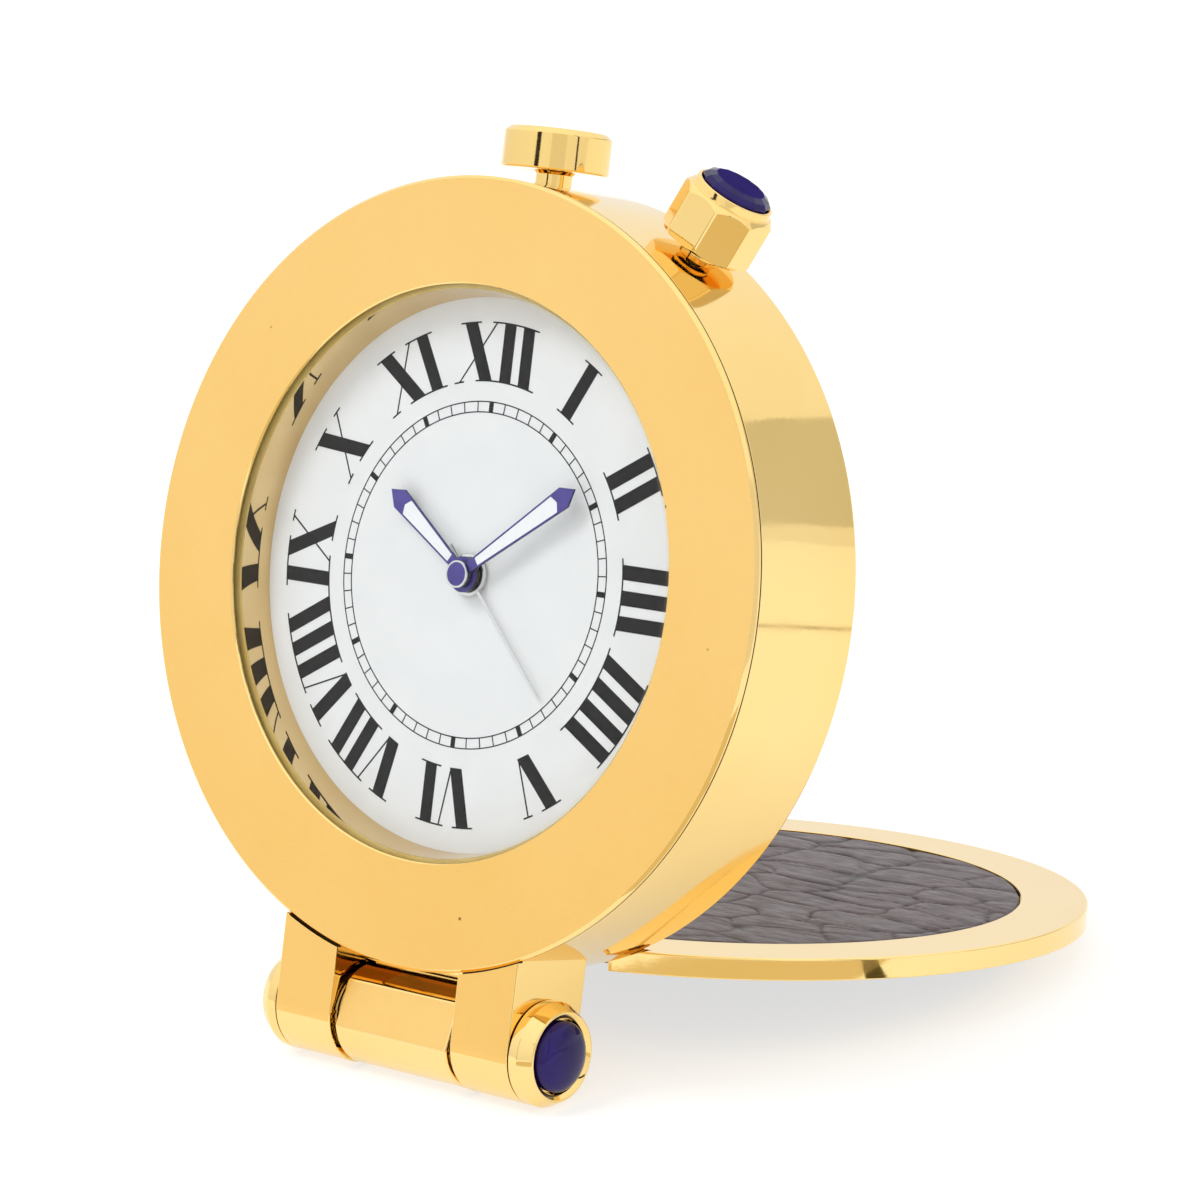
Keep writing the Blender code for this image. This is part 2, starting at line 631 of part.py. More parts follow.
def make_motion_work():
    """Wheels between the dial and the main plate, which drive the hour and the alarm hands."""
    cannon = gear_mesh(
        "cannon_pinion",
        CANNON_TEETH,
        MOTION_MODULE,
        MINUTE_WHEEL_DIRECTION,
        MINUTE_LAYER[0] - 0.05 * MM,
        MINUTE_LAYER[1] + 0.05 * MM,
        ARBOR_RADIUS + 0.1 * MM,
    )
    put("cannon_pinion", cannon, "spring_steel", case_frame, turn=DEPTHWARD)

    minute_gap = gap_towards(MINUTE_WHEEL_DIRECTION, MINUTE_WHEEL_TEETH)
    bore = 0.36 * MM
    wheel = gear_mesh("minute_wheel", MINUTE_WHEEL_TEETH, MOTION_MODULE, minute_gap, *MINUTE_LAYER, bore)
    wheel_place = (case_frame, plan(MINUTE_WHEEL_AXIS), DEPTHWARD)
    minute_wheel = put("minute_wheel", wheel, "movement_brass", *wheel_place)
    pinion_phase = MINUTE_WHEEL_DIRECTION + pi
    pinion_low = HOUR_LAYER[0] - 0.05 * MM
    pinion_high = MINUTE_LAYER[0] + 0.1 * MM
    pinion = gear_mesh(
        "minute_pinion", MINUTE_PINION_TEETH, HOUR_MODULE, pinion_phase, pinion_low, pinion_high, bore
    )
    join(minute_wheel, "pinion", pinion)

    hour_phase = MINUTE_WHEEL_DIRECTION + pi / HOUR_TEETH
    hour = gear_mesh("hour_wheel", HOUR_TEETH, HOUR_MODULE, hour_phase, *HOUR_LAYER, HOUR_PIPE[0])
    hour_wheel = put("hour_wheel", hour, "movement_brass", case_frame, turn=DEPTHWARD)
    hour_pipe = pipe_mesh("hour_pipe", *HOUR_PIPE, HOUR_HAND_DEPTH - 0.2 * MM, HOUR_LAYER[1] - 0.1 * MM)
    join(hour_wheel, "pipe", hour_pipe)

    alarm_phase = ALARM_IDLER_DIRECTION
    alarm = gear_mesh("alarm_wheel", ALARM_TEETH, ALARM_MODULE, alarm_phase, *ALARM_LAYER, ALARM_PIPE[0])
    alarm_wheel = put("alarm_wheel", alarm, "movement_brass", case_frame, turn=DEPTHWARD)
    alarm_pipe = pipe_mesh("alarm_pipe", *ALARM_PIPE, ALARM_HAND_DEPTH - 0.1 * MM, ALARM_LAYER[1] - 0.1 * MM)
    join(alarm_wheel, "pipe", alarm_pipe)

    idler_gap = gap_towards(ALARM_IDLER_DIRECTION, ALARM_IDLER_TEETH)
    idler = gear_mesh("alarm_idler", ALARM_IDLER_TEETH, ALARM_MODULE, idler_gap, *ALARM_LAYER, 0.52 * MM)
    put("alarm_idler", idler, "movement_brass", case_frame, plan(ALARM_IDLER_AXIS), DEPTHWARD)


def pipe_mesh(name, inner, outer, low, high):
    """Straight pipe along local Z."""
    return flat_mesh(name, [circle(outer, 12), circle(inner, 12)], low, high)


def make_going_train():
    """Wheels behind the main plate, from the stepping rotor to the centre wheel."""
    centre = gear_mesh("centre_wheel", CENTRE_TEETH, CENTRE_MODULE, THIRD_DIRECTION, *CENTRE_LAYER)
    centre_wheel = put("centre_wheel", centre, "movement_brass", case_frame, turn=DEPTHWARD)
    arbor_end = BRIDGE_DEPTH - 0.2 * MM
    arbor = rod_mesh("arbor", ARBOR_RADIUS, MINUTE_HAND_DEPTH + 0.12 * MM, arbor_end, 16)
    join(centre_wheel, "arbor", arbor)
    join(centre_wheel, "pivot", pivot_mesh(arbor_end - 0.1 * MM))

    third_low = PLATE_DEPTH + PLATE_THICKNESS + 0.25 * MM
    third_gap = gap_towards(THIRD_DIRECTION, THIRD_PINION_TEETH)
    third_high = THIRD_LAYER[0] + 0.1 * MM
    pinion = gear_mesh(
        "third_pinion", THIRD_PINION_TEETH, CENTRE_MODULE, third_gap, third_low, third_high
    )
    third_wheel = put("third_wheel", pinion, "movement_brass", case_frame, plan(THIRD_AXIS), DEPTHWARD)
    third = gear_mesh("third_gear", THIRD_TEETH, ROTOR_MODULE, ROTOR_DIRECTION, *THIRD_LAYER)
    join(third_wheel, "gear", third)
    join(third_wheel, "pivot", pivot_mesh(PLATE_DEPTH + 0.1 * MM))

    rotor_gap = gap_towards(ROTOR_DIRECTION, ROTOR_TEETH)
    rotor_low = THIRD_LAYER[0] - 0.1 * MM
    rotor_high = STATOR_DEPTH + 0.1 * MM
    rotor_pinion = gear_mesh("rotor_pinion", ROTOR_TEETH, ROTOR_MODULE, rotor_gap, rotor_low, rotor_high)
    rotor = put("rotor", rotor_pinion, "spring_steel", case_frame, plan(ROTOR_AXIS), DEPTHWARD)
    join(rotor, "magnet", rod_mesh("magnet", 1.5 * MM, STATOR_DEPTH, STATOR_DEPTH + 0.5 * MM, 16))
    join(rotor, "pivot", pivot_mesh(PLATE_DEPTH + 0.1 * MM))


def pivot_mesh(low):
    """Thin arbor from a depth to the far side of the train bridge."""
    return rod_mesh("pivot", PIVOT_RADIUS, low, BRIDGE_DEPTH + BRIDGE_THICKNESS - 0.1 * MM, 12)


BRIDGE_CENTRE = (-4.3 * MM, 3.0 * MM)
BRIDGE_RADIUS = 7.2 * MM
PILLARS = ((-9.6 * MM, -0.5 * MM), (1.3 * MM, 6.1 * MM))
PILLAR_RADIUS = 0.75 * MM
SCREW_RADIUS = 0.35 * MM
MOVEMENT_SCREWS = (polar(16.0 * MM, radians(-8.0)), polar(16.0 * MM, radians(172.0)))


def make_plates():
    """Main plate with its posts, and the train bridge on its pillars."""
    plate_back = PLATE_DEPTH + PLATE_THICKNESS
    plate = disc("main_plate", PLATE_RADIUS, PLATE_DEPTH, plate_back, "movement_brass", case_frame, steps=32)
    minute_post = rod_mesh("minute_post", POST_RADIUS, HOUR_LAYER[0] - 0.1 * MM, PLATE_DEPTH + 0.2 * MM, 12)
    join(plate, "minute_post", minute_post, case_frame, plan(MINUTE_WHEEL_AXIS), DEPTHWARD)
    idler_post = rod_mesh("idler_post", IDLER_POST, ALARM_LAYER[0] - 0.05 * MM, PLATE_DEPTH + 0.2 * MM, 12)
    join(plate, "idler_post", idler_post, case_frame, plan(ALARM_IDLER_AXIS), DEPTHWARD)
    arbor_hole = ARBOR_RADIUS + 0.15 * MM
    centre_hole = rod_mesh("centre_hole", arbor_hole, PLATE_DEPTH - SEAM, plate_back + SEAM, 16)
    cut(plate, "centre_hole", centre_hole)
    for name, place, radius in (
        ("third_hole", THIRD_AXIS, PIVOT_HOLE),
        ("rotor_hole", ROTOR_AXIS, PIVOT_HOLE),
        ("screw_hole_1", MOVEMENT_SCREWS[0], SCREW_RADIUS + FINE_GAP),
        ("screw_hole_2", MOVEMENT_SCREWS[1], SCREW_RADIUS + FINE_GAP),
    ):
        hole = rod_mesh(name, radius, PLATE_DEPTH - SEAM, plate_back + SEAM, 12)
        cut(plate, name, hole, case_frame, plan(place), DEPTHWARD)

    bridge_back = BRIDGE_DEPTH + BRIDGE_THICKNESS
    outline = [circle(BRIDGE_RADIUS, 32, BRIDGE_CENTRE)]
    bridge = put(
        "train_bridge",
        flat_mesh("train_bridge", outline, BRIDGE_DEPTH, bridge_back),
        "spring_steel",
        case_frame,
        turn=DEPTHWARD,
    )
    for i, place in enumerate(PILLARS, start=1):
        pillar = rod_mesh("pillar", PILLAR_RADIUS, plate_back + 0.1 * MM, BRIDGE_DEPTH + 0.2 * MM, 16)
        join(bridge, f"pillar_{i}", pillar, case_frame, plan(place), DEPTHWARD)
        hole = rod_mesh("hole", SCREW_RADIUS + 0.1 * MM, bridge_back - 1.8 * MM, bridge_back + SEAM, 12)
        cut(bridge, f"screw_hole_{i}", hole, case_frame, plan(place), DEPTHWARD)
        head = (PILLAR_RADIUS, bridge_back + 0.05 * MM, bridge_back + 0.45 * MM)
        make_screw(f"bridge_screw_{i}", place, head, (SCREW_RADIUS, bridge_back - 1.5 * MM), "spring_steel")
    for name, place in (("centre", (0.0, 0.0)), ("third", THIRD_AXIS), ("rotor", ROTOR_AXIS)):
        hole = rod_mesh(name + "_hole", PIVOT_HOLE, BRIDGE_DEPTH - SEAM, bridge_back + SEAM, 12)
        cut(bridge, name + "_hole", hole, case_frame, plan(place), DEPTHWARD)


RING_FRONT = DIAL_DEPTH + DIAL_THICKNESS + 0.15 * MM
RING_BACK = 11.2 * MM
RING_OUTER = 26.3 * MM
RING_WINDOW = 17.0 * MM
RING_LEDGE = 15.3 * MM


def make_movement_ring():
    """Moulded ring that centres the movement in the case and carries the crown and button works."""
    ledge_depth = PLATE_DEPTH - 0.1 * MM
    profile = [
        (RING_WINDOW, RING_BACK),
        (RING_OUTER, RING_BACK),
        (RING_OUTER, RING_FRONT),
        (RING_LEDGE, RING_FRONT),
        (RING_LEDGE, ledge_depth),
        (RING_WINDOW, ledge_depth),
    ]
    holder = turned("movement_ring", profile, "moulded_plastic", case_frame, steps=32, ring=True)
    across = (0.0, MID_DEPTH, 0.0)
    stem_hole = rod_mesh("stem_hole", STEM_RADIUS + 0.2 * MM, RING_WINDOW - MM, RING_OUTER + MM, 16)
    cut(holder, "stem_hole", stem_hole, case_frame, across, CROWNWARD)
    yoke_room = box_mesh("yoke_room", (-1.8 * MM, -1.6 * MM, 18.0 * MM), (1.8 * MM, 1.6 * MM, 21.2 * MM))
    cut(holder, "yoke_room", yoke_room, case_frame, across, CROWNWARD)
    yoke_slot = box_mesh("yoke_slot", (-1.8 * MM, 0.0, 18.0 * MM), (1.8 * MM, 6.0 * MM, 21.2 * MM))
    cut(holder, "yoke_slot", yoke_slot, case_frame, across, CROWNWARD)
    spring_room = rod_mesh("spring_room", SPRING_ROOM, SWITCH_SEAT, RING_OUTER + MM, 24)
    cut(holder, "spring_room", spring_room, case_frame, across, (0, 0, 0))
    for i, place in enumerate(MOVEMENT_SCREWS, start=1):
        hole = rod_mesh("hole", SCREW_RADIUS + 0.1 * MM, ledge_depth - 1.6 * MM, ledge_depth + SEAM, 12)
        cut(holder, f"screw_hole_{i}", hole, case_frame, plan(place), DEPTHWARD)
        head_low = PLATE_DEPTH + PLATE_THICKNESS + 0.05 * MM
        head = (0.75 * MM, head_low, head_low + 0.45 * MM)
        shank = (SCREW_RADIUS, ledge_depth - 1.4 * MM)
        make_screw(f"movement_screw_{i}", place, head, shank, "spring_steel")


def make_electrics():
    """Stepping motor, circuit, button cell and buzzer."""
    start, end = radians(-115.0), radians(-22.0)
    sector = arc(14.8 * MM, start, end, 10) + arc(6.2 * MM, end, start, 6)
    board = flat_mesh("circuit_board", [sector], 8.2 * MM, 8.7 * MM)
    put("circuit_board", board, "board_green", case_frame, turn=DEPTHWARD)
    chip_place = plan(polar(10.0 * MM, radians(-50.0)))
    chip = box_mesh("driver_chip", (-1.6 * MM, -1.6 * MM, 8.8 * MM), (1.6 * MM, 1.6 * MM, 9.6 * MM))
    put("driver_chip", chip, "black_plastic", case_frame, chip_place, DEPTHWARD)
    can_place = plan(polar(10.4 * MM, radians(-88.0)), 9.75 * MM)
    can = rod_mesh("quartz_can", 0.95 * MM, -2.6 * MM, 2.6 * MM, 16)
    put("quartz_can", can, "spring_steel", case_frame, can_place, SIDEWAYS)

    low, high = (-11.4 * MM, 4.3 * MM), (-0.2 * MM, 10.8 * MM)
    frame = [low, (high[0], low[1]), high, (low[0], high[1])]
    loops = [frame, circle(1.9 * MM, 20, ROTOR_AXIS)]
    stator = flat_mesh("motor_stator", loops, STATOR_DEPTH, STATOR_DEPTH + 0.5 * MM)
    put("motor_stator", stator, "spring_steel", case_frame, turn=DEPTHWARD)
    bobbin = [
        (0.0, 3.6 * MM),
        (1.4 * MM, 3.6 * MM),
        (1.4 * MM, 3.2 * MM),
        (1.15 * MM, 3.2 * MM),
        (1.15 * MM, -3.2 * MM),
        (1.4 * MM, -3.2 * MM),
        (1.4 * MM, -3.6 * MM),
        (0.0, -3.6 * MM),
    ]
    coil_place = plan((-4.0 * MM, 12.6 * MM), STATOR_DEPTH + 0.25 * MM)
    turned("motor_coil", bobbin, "copper_wire", case_frame, coil_place, SIDEWAYS, steps=16)

    cell = [(0.0, 11.1 * MM), (BATTERY_RADIUS, 11.1 * MM), (BATTERY_RADIUS, 8.8 * MM)]
    cell += [(BATTERY_RADIUS - 0.8 * MM, 8.1 * MM), (0.0, 8.1 * MM)]
    turned("battery_cell", cell, "spring_steel", case_frame, plan(BATTERY_AXIS), steps=32)
    clip_low = (-5.3 * MM, -1.2 * MM, 11.25 * MM)
    clip_high = (5.3 * MM, 1.2 * MM, 11.45 * MM)
    strap = box_mesh("battery_clip", clip_low, clip_high)
    put("battery_clip", strap, "spring_steel", case_frame, plan(BATTERY_AXIS), DEPTHWARD)

    buzzer_place = plan((-7.5 * MM, -7.5 * MM))
    buzzer = (6.2 * MM, 11.45 * MM, 11.75 * MM)
    disc("buzzer_disc", *buzzer, "movement_brass", case_frame, buzzer_place, steps=32)
    spring_place = plan((-3.6 * MM, -9.6 * MM))
    spring = (0.7 * MM, 0.14 * MM, 8.85 * MM, 11.25 * MM, 4)
    coil_spring("buzzer_spring", *spring, case_frame, spring_place, DEPTHWARD)


def coil_spring(name, radius, wire, low, high, turns, parent, at, turn):
    """Helical wire spring along local Z."""
    curve = bpy.data.curves.new(name, "CURVE")
    curve.dimensions = "3D"
    curve.bevel_depth = wire
    curve.bevel_resolution = 0
    curve.use_fill_caps = True
    curve.render_resolution_u = 0
    spline = curve.splines.new("POLY")
    count = turns * 8 + 1
    spline.points.add(count - 1)
    for i, point in enumerate(spline.points):
        share = i / (count - 1)
        x, y = polar(radius, 2 * pi * turns * share)
        point.co = (x, y, low + wire + (high - low - 2 * wire) * share, 1.0)
    guide = bpy.data.objects.new(name + "_path", curve)
    cutters.objects.link(guide)
    mesh = bpy.data.meshes.new_from_object(guide.evaluated_get(bpy.context.evaluated_depsgraph_get()))
    bpy.data.objects.remove(guide)
    bpy.data.curves.remove(curve)
    shape = bmesh.new()
    shape.from_mesh(mesh)
    bmesh.ops.remove_doubles(shape, verts=shape.verts, dist=0.000001)
    bmesh.ops.recalc_face_normals(shape, faces=shape.faces)
    shape.to_mesh(mesh)
    shape.free()
    return put(name, mesh, "spring_steel", parent, at, turn)


# ---------------------------------------------------------------- crown and alarm button
STEM_RADIUS = 0.6 * MM
STEM_INNER_END = 17.9 * MM
YOKE_SEAT = 18.7 * MM
YOKE_THICKNESS = 0.5 * MM
GROOVE_RADIUS = 0.36 * MM
CABOCHON_RADIUS = 3.0 * MM
SPRING_ROOM = 2.15 * MM
SWITCH_SEAT = 21.3 * MM


def make_crown():
    """Crown, its stone, its stem and the yoke that slides with it, all on the crown's axis."""
    across = (0.0, MID_DEPTH, 0.0)
    top = CROWN_SEAT + CROWN_HEIGHT
    outline = circle(CROWN_CORNER, CROWN_SIDES, start=pi / CROWN_SIDES + CROWN_TURN)
    octagon = flat_mesh("crown", [outline], CROWN_SEAT, top)
    crown = put("crown", octagon, "polished_gold", case_frame, across, CROWNWARD)
    seat_radius = CROWN_STONE + 0.1 * MM
    collar_foot, collar_top = seat_radius + 0.5 * MM, seat_radius + 0.25 * MM
    collar = rod_mesh("collar", collar_foot, top - 0.1 * MM, top + 0.7 * MM, 32, top_radius=collar_top)
    join(crown, "collar", collar)
    bore_end = CROWN_SEAT + 2.4 * MM
    stem_bore = rod_mesh("stem_bore", STEM_RADIUS + FINE_GAP, CROWN_SEAT - MM, bore_end, 16)
    cut(crown, "stem_bore", stem_bore)
    seat = rod_mesh("stone_seat", seat_radius, top - 0.1 * MM, top + MM, 32)
    cut(crown, "stone_seat", seat)

    girdle = top + 0.9 * MM
    table = girdle + 0.6 * MM
    stone_foot = top + 0.05 * MM
    stone = [(0.0, table), (CROWN_STONE * 0.72, table), (CROWN_STONE, girdle)]
    stone += [(CROWN_STONE, stone_foot), (0.0, stone_foot)]
    turned("crown_cabochon", stone, "cabochon_blue", case_frame, across, CROWNWARD, steps=3 * CROWN_SIDES)

    stem = [
        (0.0, CROWN_SEAT + 2.2 * MM),
        (STEM_RADIUS, CROWN_SEAT + 2.2 * MM),
        (STEM_RADIUS, YOKE_SEAT + YOKE_THICKNESS + 0.15 * MM),
        (GROOVE_RADIUS, YOKE_SEAT + YOKE_THICKNESS + 0.15 * MM),
        (GROOVE_RADIUS, YOKE_SEAT - 0.15 * MM),
        (STEM_RADIUS, YOKE_SEAT - 0.15 * MM),
        (STEM_RADIUS, STEM_INNER_END),
        (0.0, STEM_INNER_END),
    ]
    turned("crown_stem", stem, "spring_steel", case_frame, across, CROWNWARD, steps=16)
    ring(
        "crown_tube",
        STEM_RADIUS + 0.15 * MM,
        CROWN_TUBE,
        BAND_BORE + 0.3 * MM,
        CROWN_SEAT - SEAM,
        "polished_gold",
        case_frame,
        across,
        CROWNWARD,
        steps=20,
    )
    wide = 1.4 * MM
    tall = 1.9 * MM
    fork = GROOVE_RADIUS + 0.1 * MM
    outline = [(-wide, -1.2 * MM), (-fork, -1.2 * MM), (-fork, 0.5 * MM), (fork, 0.5 * MM)]
    outline += [(fork, -1.2 * MM), (wide, -1.2 * MM), (wide, tall), (-wide, tall)]
    yoke = flat_mesh("setting_yoke", [outline], YOKE_SEAT, YOKE_SEAT + YOKE_THICKNESS)
    put("setting_yoke", yoke, "spring_steel", case_frame, across, CROWNWARD)


def make_alarm_button():
    """Mushroom push button at twelve o'clock, its clip, return spring, guide tube and contact."""
    across = (0.0, MID_DEPTH, 0.0)
    upright = (0.0, 0.0, 0.0)
    top = BUTTON_SEAT + BUTTON_HEIGHT
    edge = 0.35 * MM
    groove = 1.1 * MM
    groove_low = 25.85 * MM
    groove_high = 26.35 * MM
    stem_end = 25.4 * MM
    profile = [
        (0.0, top),
        (BUTTON_RADIUS - edge, top),
        (BUTTON_RADIUS, top - edge),
        (BUTTON_RADIUS, BUTTON_SEAT + edge / 2),
        (BUTTON_RADIUS - edge / 2, BUTTON_SEAT),
        (BUTTON_STEM, BUTTON_SEAT),
        (BUTTON_STEM, groove_high),
        (groove, groove_high),
        (groove, groove_low),
        (BUTTON_STEM, groove_low),
        (BUTTON_STEM, stem_end),
        (0.0, stem_end),
    ]
    turned("alarm_button", profile, "polished_gold", case_frame, across, upright, steps=24)
    gap_start, gap_end = radians(20.0), radians(340.0)
    clip = arc(1.95 * MM, gap_start, gap_end, 16) + arc(groove + 0.1 * MM, gap_end, gap_start, 16)
    clip_mesh = flat_mesh("button_clip", [clip], groove_low + 0.1 * MM, groove_high - 0.1 * MM)
    put("button_clip", clip_mesh, "spring_steel", case_frame, across, upright)
    tube_inner = BUTTON_STEM + FINE_GAP
    tube_low = BAND_BORE + 0.15 * MM
    tube_high = CASE_RADIUS - 0.15 * MM
    tube = (tube_inner, BUTTON_TUBE, tube_low, tube_high)
    ring("button_tube", *tube, "polished_gold", case_frame, across, upright, 24)
    contact_low = SWITCH_SEAT + 0.1 * MM
    contact_high = SWITCH_SEAT + 0.4 * MM
    contact = (1.9 * MM, contact_low, contact_high)
    disc("switch_contact", *contact, "movement_brass", case_frame, across, upright, 20)
    spring_low = contact_high + 0.1 * MM
    spring = (1.2 * MM, 0.16 * MM, spring_low, stem_end - 0.1 * MM, 4)
    coil_spring("button_spring", *spring, case_frame, across, upright)


# ---------------------------------------------------------------- hinge and cover
CAP_FLANGE = 1.1 * MM
CAP_REACH = 2.1 * MM


def make_hinge():
    """Pin through both lugs, with a capped and jewelled end on each side."""
    here = (0.0, 0.0, 0.0)
    pin_end = 11.6 * MM
    pin = rod_mesh("hinge_pin", PIN_RADIUS, -pin_end, pin_end, 24)
    put("hinge_pin", pin, "spring_steel", hinge_frame, here, SIDEWAYS)
    for side, turn in (("right", SIDEWAYS), ("left", (0.0, -pi / 2, 0.0))):
        face = LUG_OUTER + 0.1 * MM
        profile = [
            (0.0, face + 1.0 * MM),
            (3.1 * MM, face + 1.0 * MM),
            (3.3 * MM, face + CAP_REACH),
            (3.7 * MM, face + CAP_REACH),
            (LUG_RADIUS, face + CAP_FLANGE),
            (LUG_RADIUS, face),
            (1.5 * MM, face),
            (1.5 * MM, pin_end + 0.3 * MM),
            (0.0, pin_end + 0.3 * MM),
        ]
        turned("hinge_cap_" + side, profile, "polished_gold", hinge_frame, here, turn, steps=24)
        base = face + 1.0 * MM + FINE_GAP
        girdle = face + CAP_REACH - 0.2 * MM
        crown_height = 1.1 * MM
        dome = [
            (CABOCHON_RADIUS * sin(i * pi / 10), girdle + crown_height * cos(i * pi / 10)) for i in range(6)
        ]
        dome[0] = (0.0, girdle + crown_height)
        dome += [(CABOCHON_RADIUS - 0.1 * MM, base), (0.0, base)]
        turned("hinge_cabochon_" + side, dome, "cabochon_blue", hinge_frame, here, turn, steps=24)
        washer_low = LUG_INNER - 0.35 * MM
        washer_high = LUG_INNER - 0.1 * MM
        ring(
            "friction_washer_" + side,
            PIN_BORE,
            3.4 * MM,
            washer_low,
            washer_high,
            "spring_steel",
            hinge_frame,
            here,
            turn,
            24,
        )


KNUCKLE_RADIUS = 4.3 * MM
KNUCKLE_HALF = 6.3 * MM
TONGUE_BOTTOM = 5.05 * MM


def knuckle_outline():
    """Round barrel with the satin flat that faces forwards when the clock stands open."""
    middle = radians(159.5)
    half = radians(27.1)
    return arc(KNUCKLE_RADIUS, middle + half, middle - half + 2 * pi, 27)


def make_cover():
    """Round cover plate with its knuckle and tongue, the leather outside and the lining inside."""
    here = (0.0, 0.0, 0.0)
    chamfer = 0.2 * MM
    plate_profile = [
        (0.0, COVER_TOP),
        (COVER_RADIUS - chamfer, COVER_TOP),
        (COVER_RADIUS, COVER_TOP - chamfer),
        (COVER_RADIUS, COVER_INNER),
        (0.0, COVER_INNER),
    ]
    centre = (0.0, COVER_CENTRE, 0.0)
    plate_place = (cover_frame, centre, here, OUTER_STEPS)
    plate = turned("cover_plate", plate_profile, "polished_gold", *plate_place)
    notch_half = LUG_OUTER + SEAM
    notch = box_mesh("notch", (-notch_half, -10 * MM, 0.0), (notch_half, COVER_NOTCH, 20 * MM))
    cut(plate, "notch", notch, cover_frame, here, here)
    drum_room = rod_mesh("drum_room", CASE_RADIUS + SEAM, -MM, CASE_DEPTH + SEAM, 2 * OUTER_STEPS)
    cut(plate, "drum_room", drum_room, case_frame, here, DEPTHWARD)
    recess = rod_mesh("recess", LEATHER_RADIUS, COVER_TOP - LEATHER_RECESS, COVER_TOP + MM, OUTER_STEPS)
    cut(plate, "leather_recess", recess)
    tongue_low = (-KNUCKLE_HALF, 2.2 * MM, TONGUE_BOTTOM)
    tongue_high = (KNUCKLE_HALF, COVER_NOTCH + 2.5 * MM, TONGUE_TOP)
    join(plate, "tongue", box_mesh("tongue", tongue_low, tongue_high), cover_frame, here, here)
    riser_low = (-KNUCKLE_HALF, 0.6 * MM, 2.0 * MM)
    riser_high = (KNUCKLE_HALF, 4.6 * MM, TONGUE_TOP)
    join(plate, "riser", box_mesh("riser", riser_low, riser_high), cover_frame, here, here)
    barrel = flat_mesh("barrel", [knuckle_outline()], -KNUCKLE_HALF, KNUCKLE_HALF)
    join(plate, "barrel", barrel, cover_frame, here, SECTION)
    pin_bore = rod_mesh("pin_bore", PIN_BORE, -10 * MM, 10 * MM, 24)
    cut(plate, "pin_bore", pin_bore, cover_frame, here, SIDEWAYS)

    leather_low = COVER_TOP - LEATHER_RECESS + 0.05 * MM
    leather_radius = LEATHER_RADIUS - 0.15 * MM
    leather_high = COVER_TOP + 0.1 * MM
    disc("leather_panel", leather_radius, leather_low, leather_high, "leather_brown", *plate_place)
    lining_high = COVER_INNER - 0.05 * MM
    lining_low = COVER_INNER - LINING_THICKNESS
    lining = disc("cover_lining", LINING_RADIUS, lining_low, lining_high, "suede_black", *plate_place)
    clear_low = (-40 * MM, -10 * MM, 0.0)
    clear_high = (40 * MM, COVER_NOTCH + 3.2 * MM, 20 * MM)
    cut(lining, "near_edge", box_mesh("near_edge", clear_low, clear_high), cover_frame, here, here)


make_case_band()
make_front_bezel()
make_case_back()
make_glazing()
make_dial()
make_hands()
make_motion_work()
make_going_train()
make_plates()
make_movement_ring()
make_electrics()
make_crown()
make_alarm_button()
make_hinge()
make_cover()
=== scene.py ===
"""Looks of the folding travel alarm clock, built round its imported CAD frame.

Every fine piece is drawn in one of a few local frames taken from the CAD joints and nodes:
FACE   x right, y up the dial, z out towards the reader; z = 0 is the bezel's front face
CROWN  z out through the crown, BUTTON  z up through the alarm button, both from the dial axis
HINGE  x back, y up, z right, on the hinge axis; COVER  x right, y along the cover, z leather side
"""

import json
from math import acos, asin, atan2, ceil, cos, hypot, pi, radians, sin, sqrt, tan

import bmesh
import bpy
import numpy as np
from mathutils import Matrix, Vector


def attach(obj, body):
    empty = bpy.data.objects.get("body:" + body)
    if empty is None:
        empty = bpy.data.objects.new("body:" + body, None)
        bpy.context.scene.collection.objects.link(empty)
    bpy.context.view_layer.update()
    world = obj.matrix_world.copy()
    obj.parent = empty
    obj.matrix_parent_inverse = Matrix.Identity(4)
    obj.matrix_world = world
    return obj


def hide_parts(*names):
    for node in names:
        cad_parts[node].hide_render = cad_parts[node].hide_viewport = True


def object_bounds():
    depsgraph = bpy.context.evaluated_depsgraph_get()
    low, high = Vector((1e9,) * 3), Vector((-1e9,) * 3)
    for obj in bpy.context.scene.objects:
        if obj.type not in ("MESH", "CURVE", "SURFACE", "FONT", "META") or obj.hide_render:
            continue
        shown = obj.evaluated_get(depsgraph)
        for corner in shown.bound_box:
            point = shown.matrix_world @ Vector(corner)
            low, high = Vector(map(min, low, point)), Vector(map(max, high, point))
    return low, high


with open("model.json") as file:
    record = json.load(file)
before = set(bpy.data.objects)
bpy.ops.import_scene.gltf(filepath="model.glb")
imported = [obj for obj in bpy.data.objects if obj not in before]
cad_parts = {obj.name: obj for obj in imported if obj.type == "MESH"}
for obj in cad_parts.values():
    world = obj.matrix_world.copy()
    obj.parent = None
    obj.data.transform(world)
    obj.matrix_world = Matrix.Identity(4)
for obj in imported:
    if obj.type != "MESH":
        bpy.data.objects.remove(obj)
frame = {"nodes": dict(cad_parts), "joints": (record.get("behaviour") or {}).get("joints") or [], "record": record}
cad_low, cad_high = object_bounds()

MM = 0.001
MICRON = 0.000001
LATHE_STEPS = 224
KNOB_STEPS = 160
SMALL_STEPS = 96
HUB_STEPS = 64
HOLE_STEPS = 48
FILLET_STEPS = 4
SHARP_ANGLE = radians(28.0)
SAME_POINT = 0.2 * MICRON

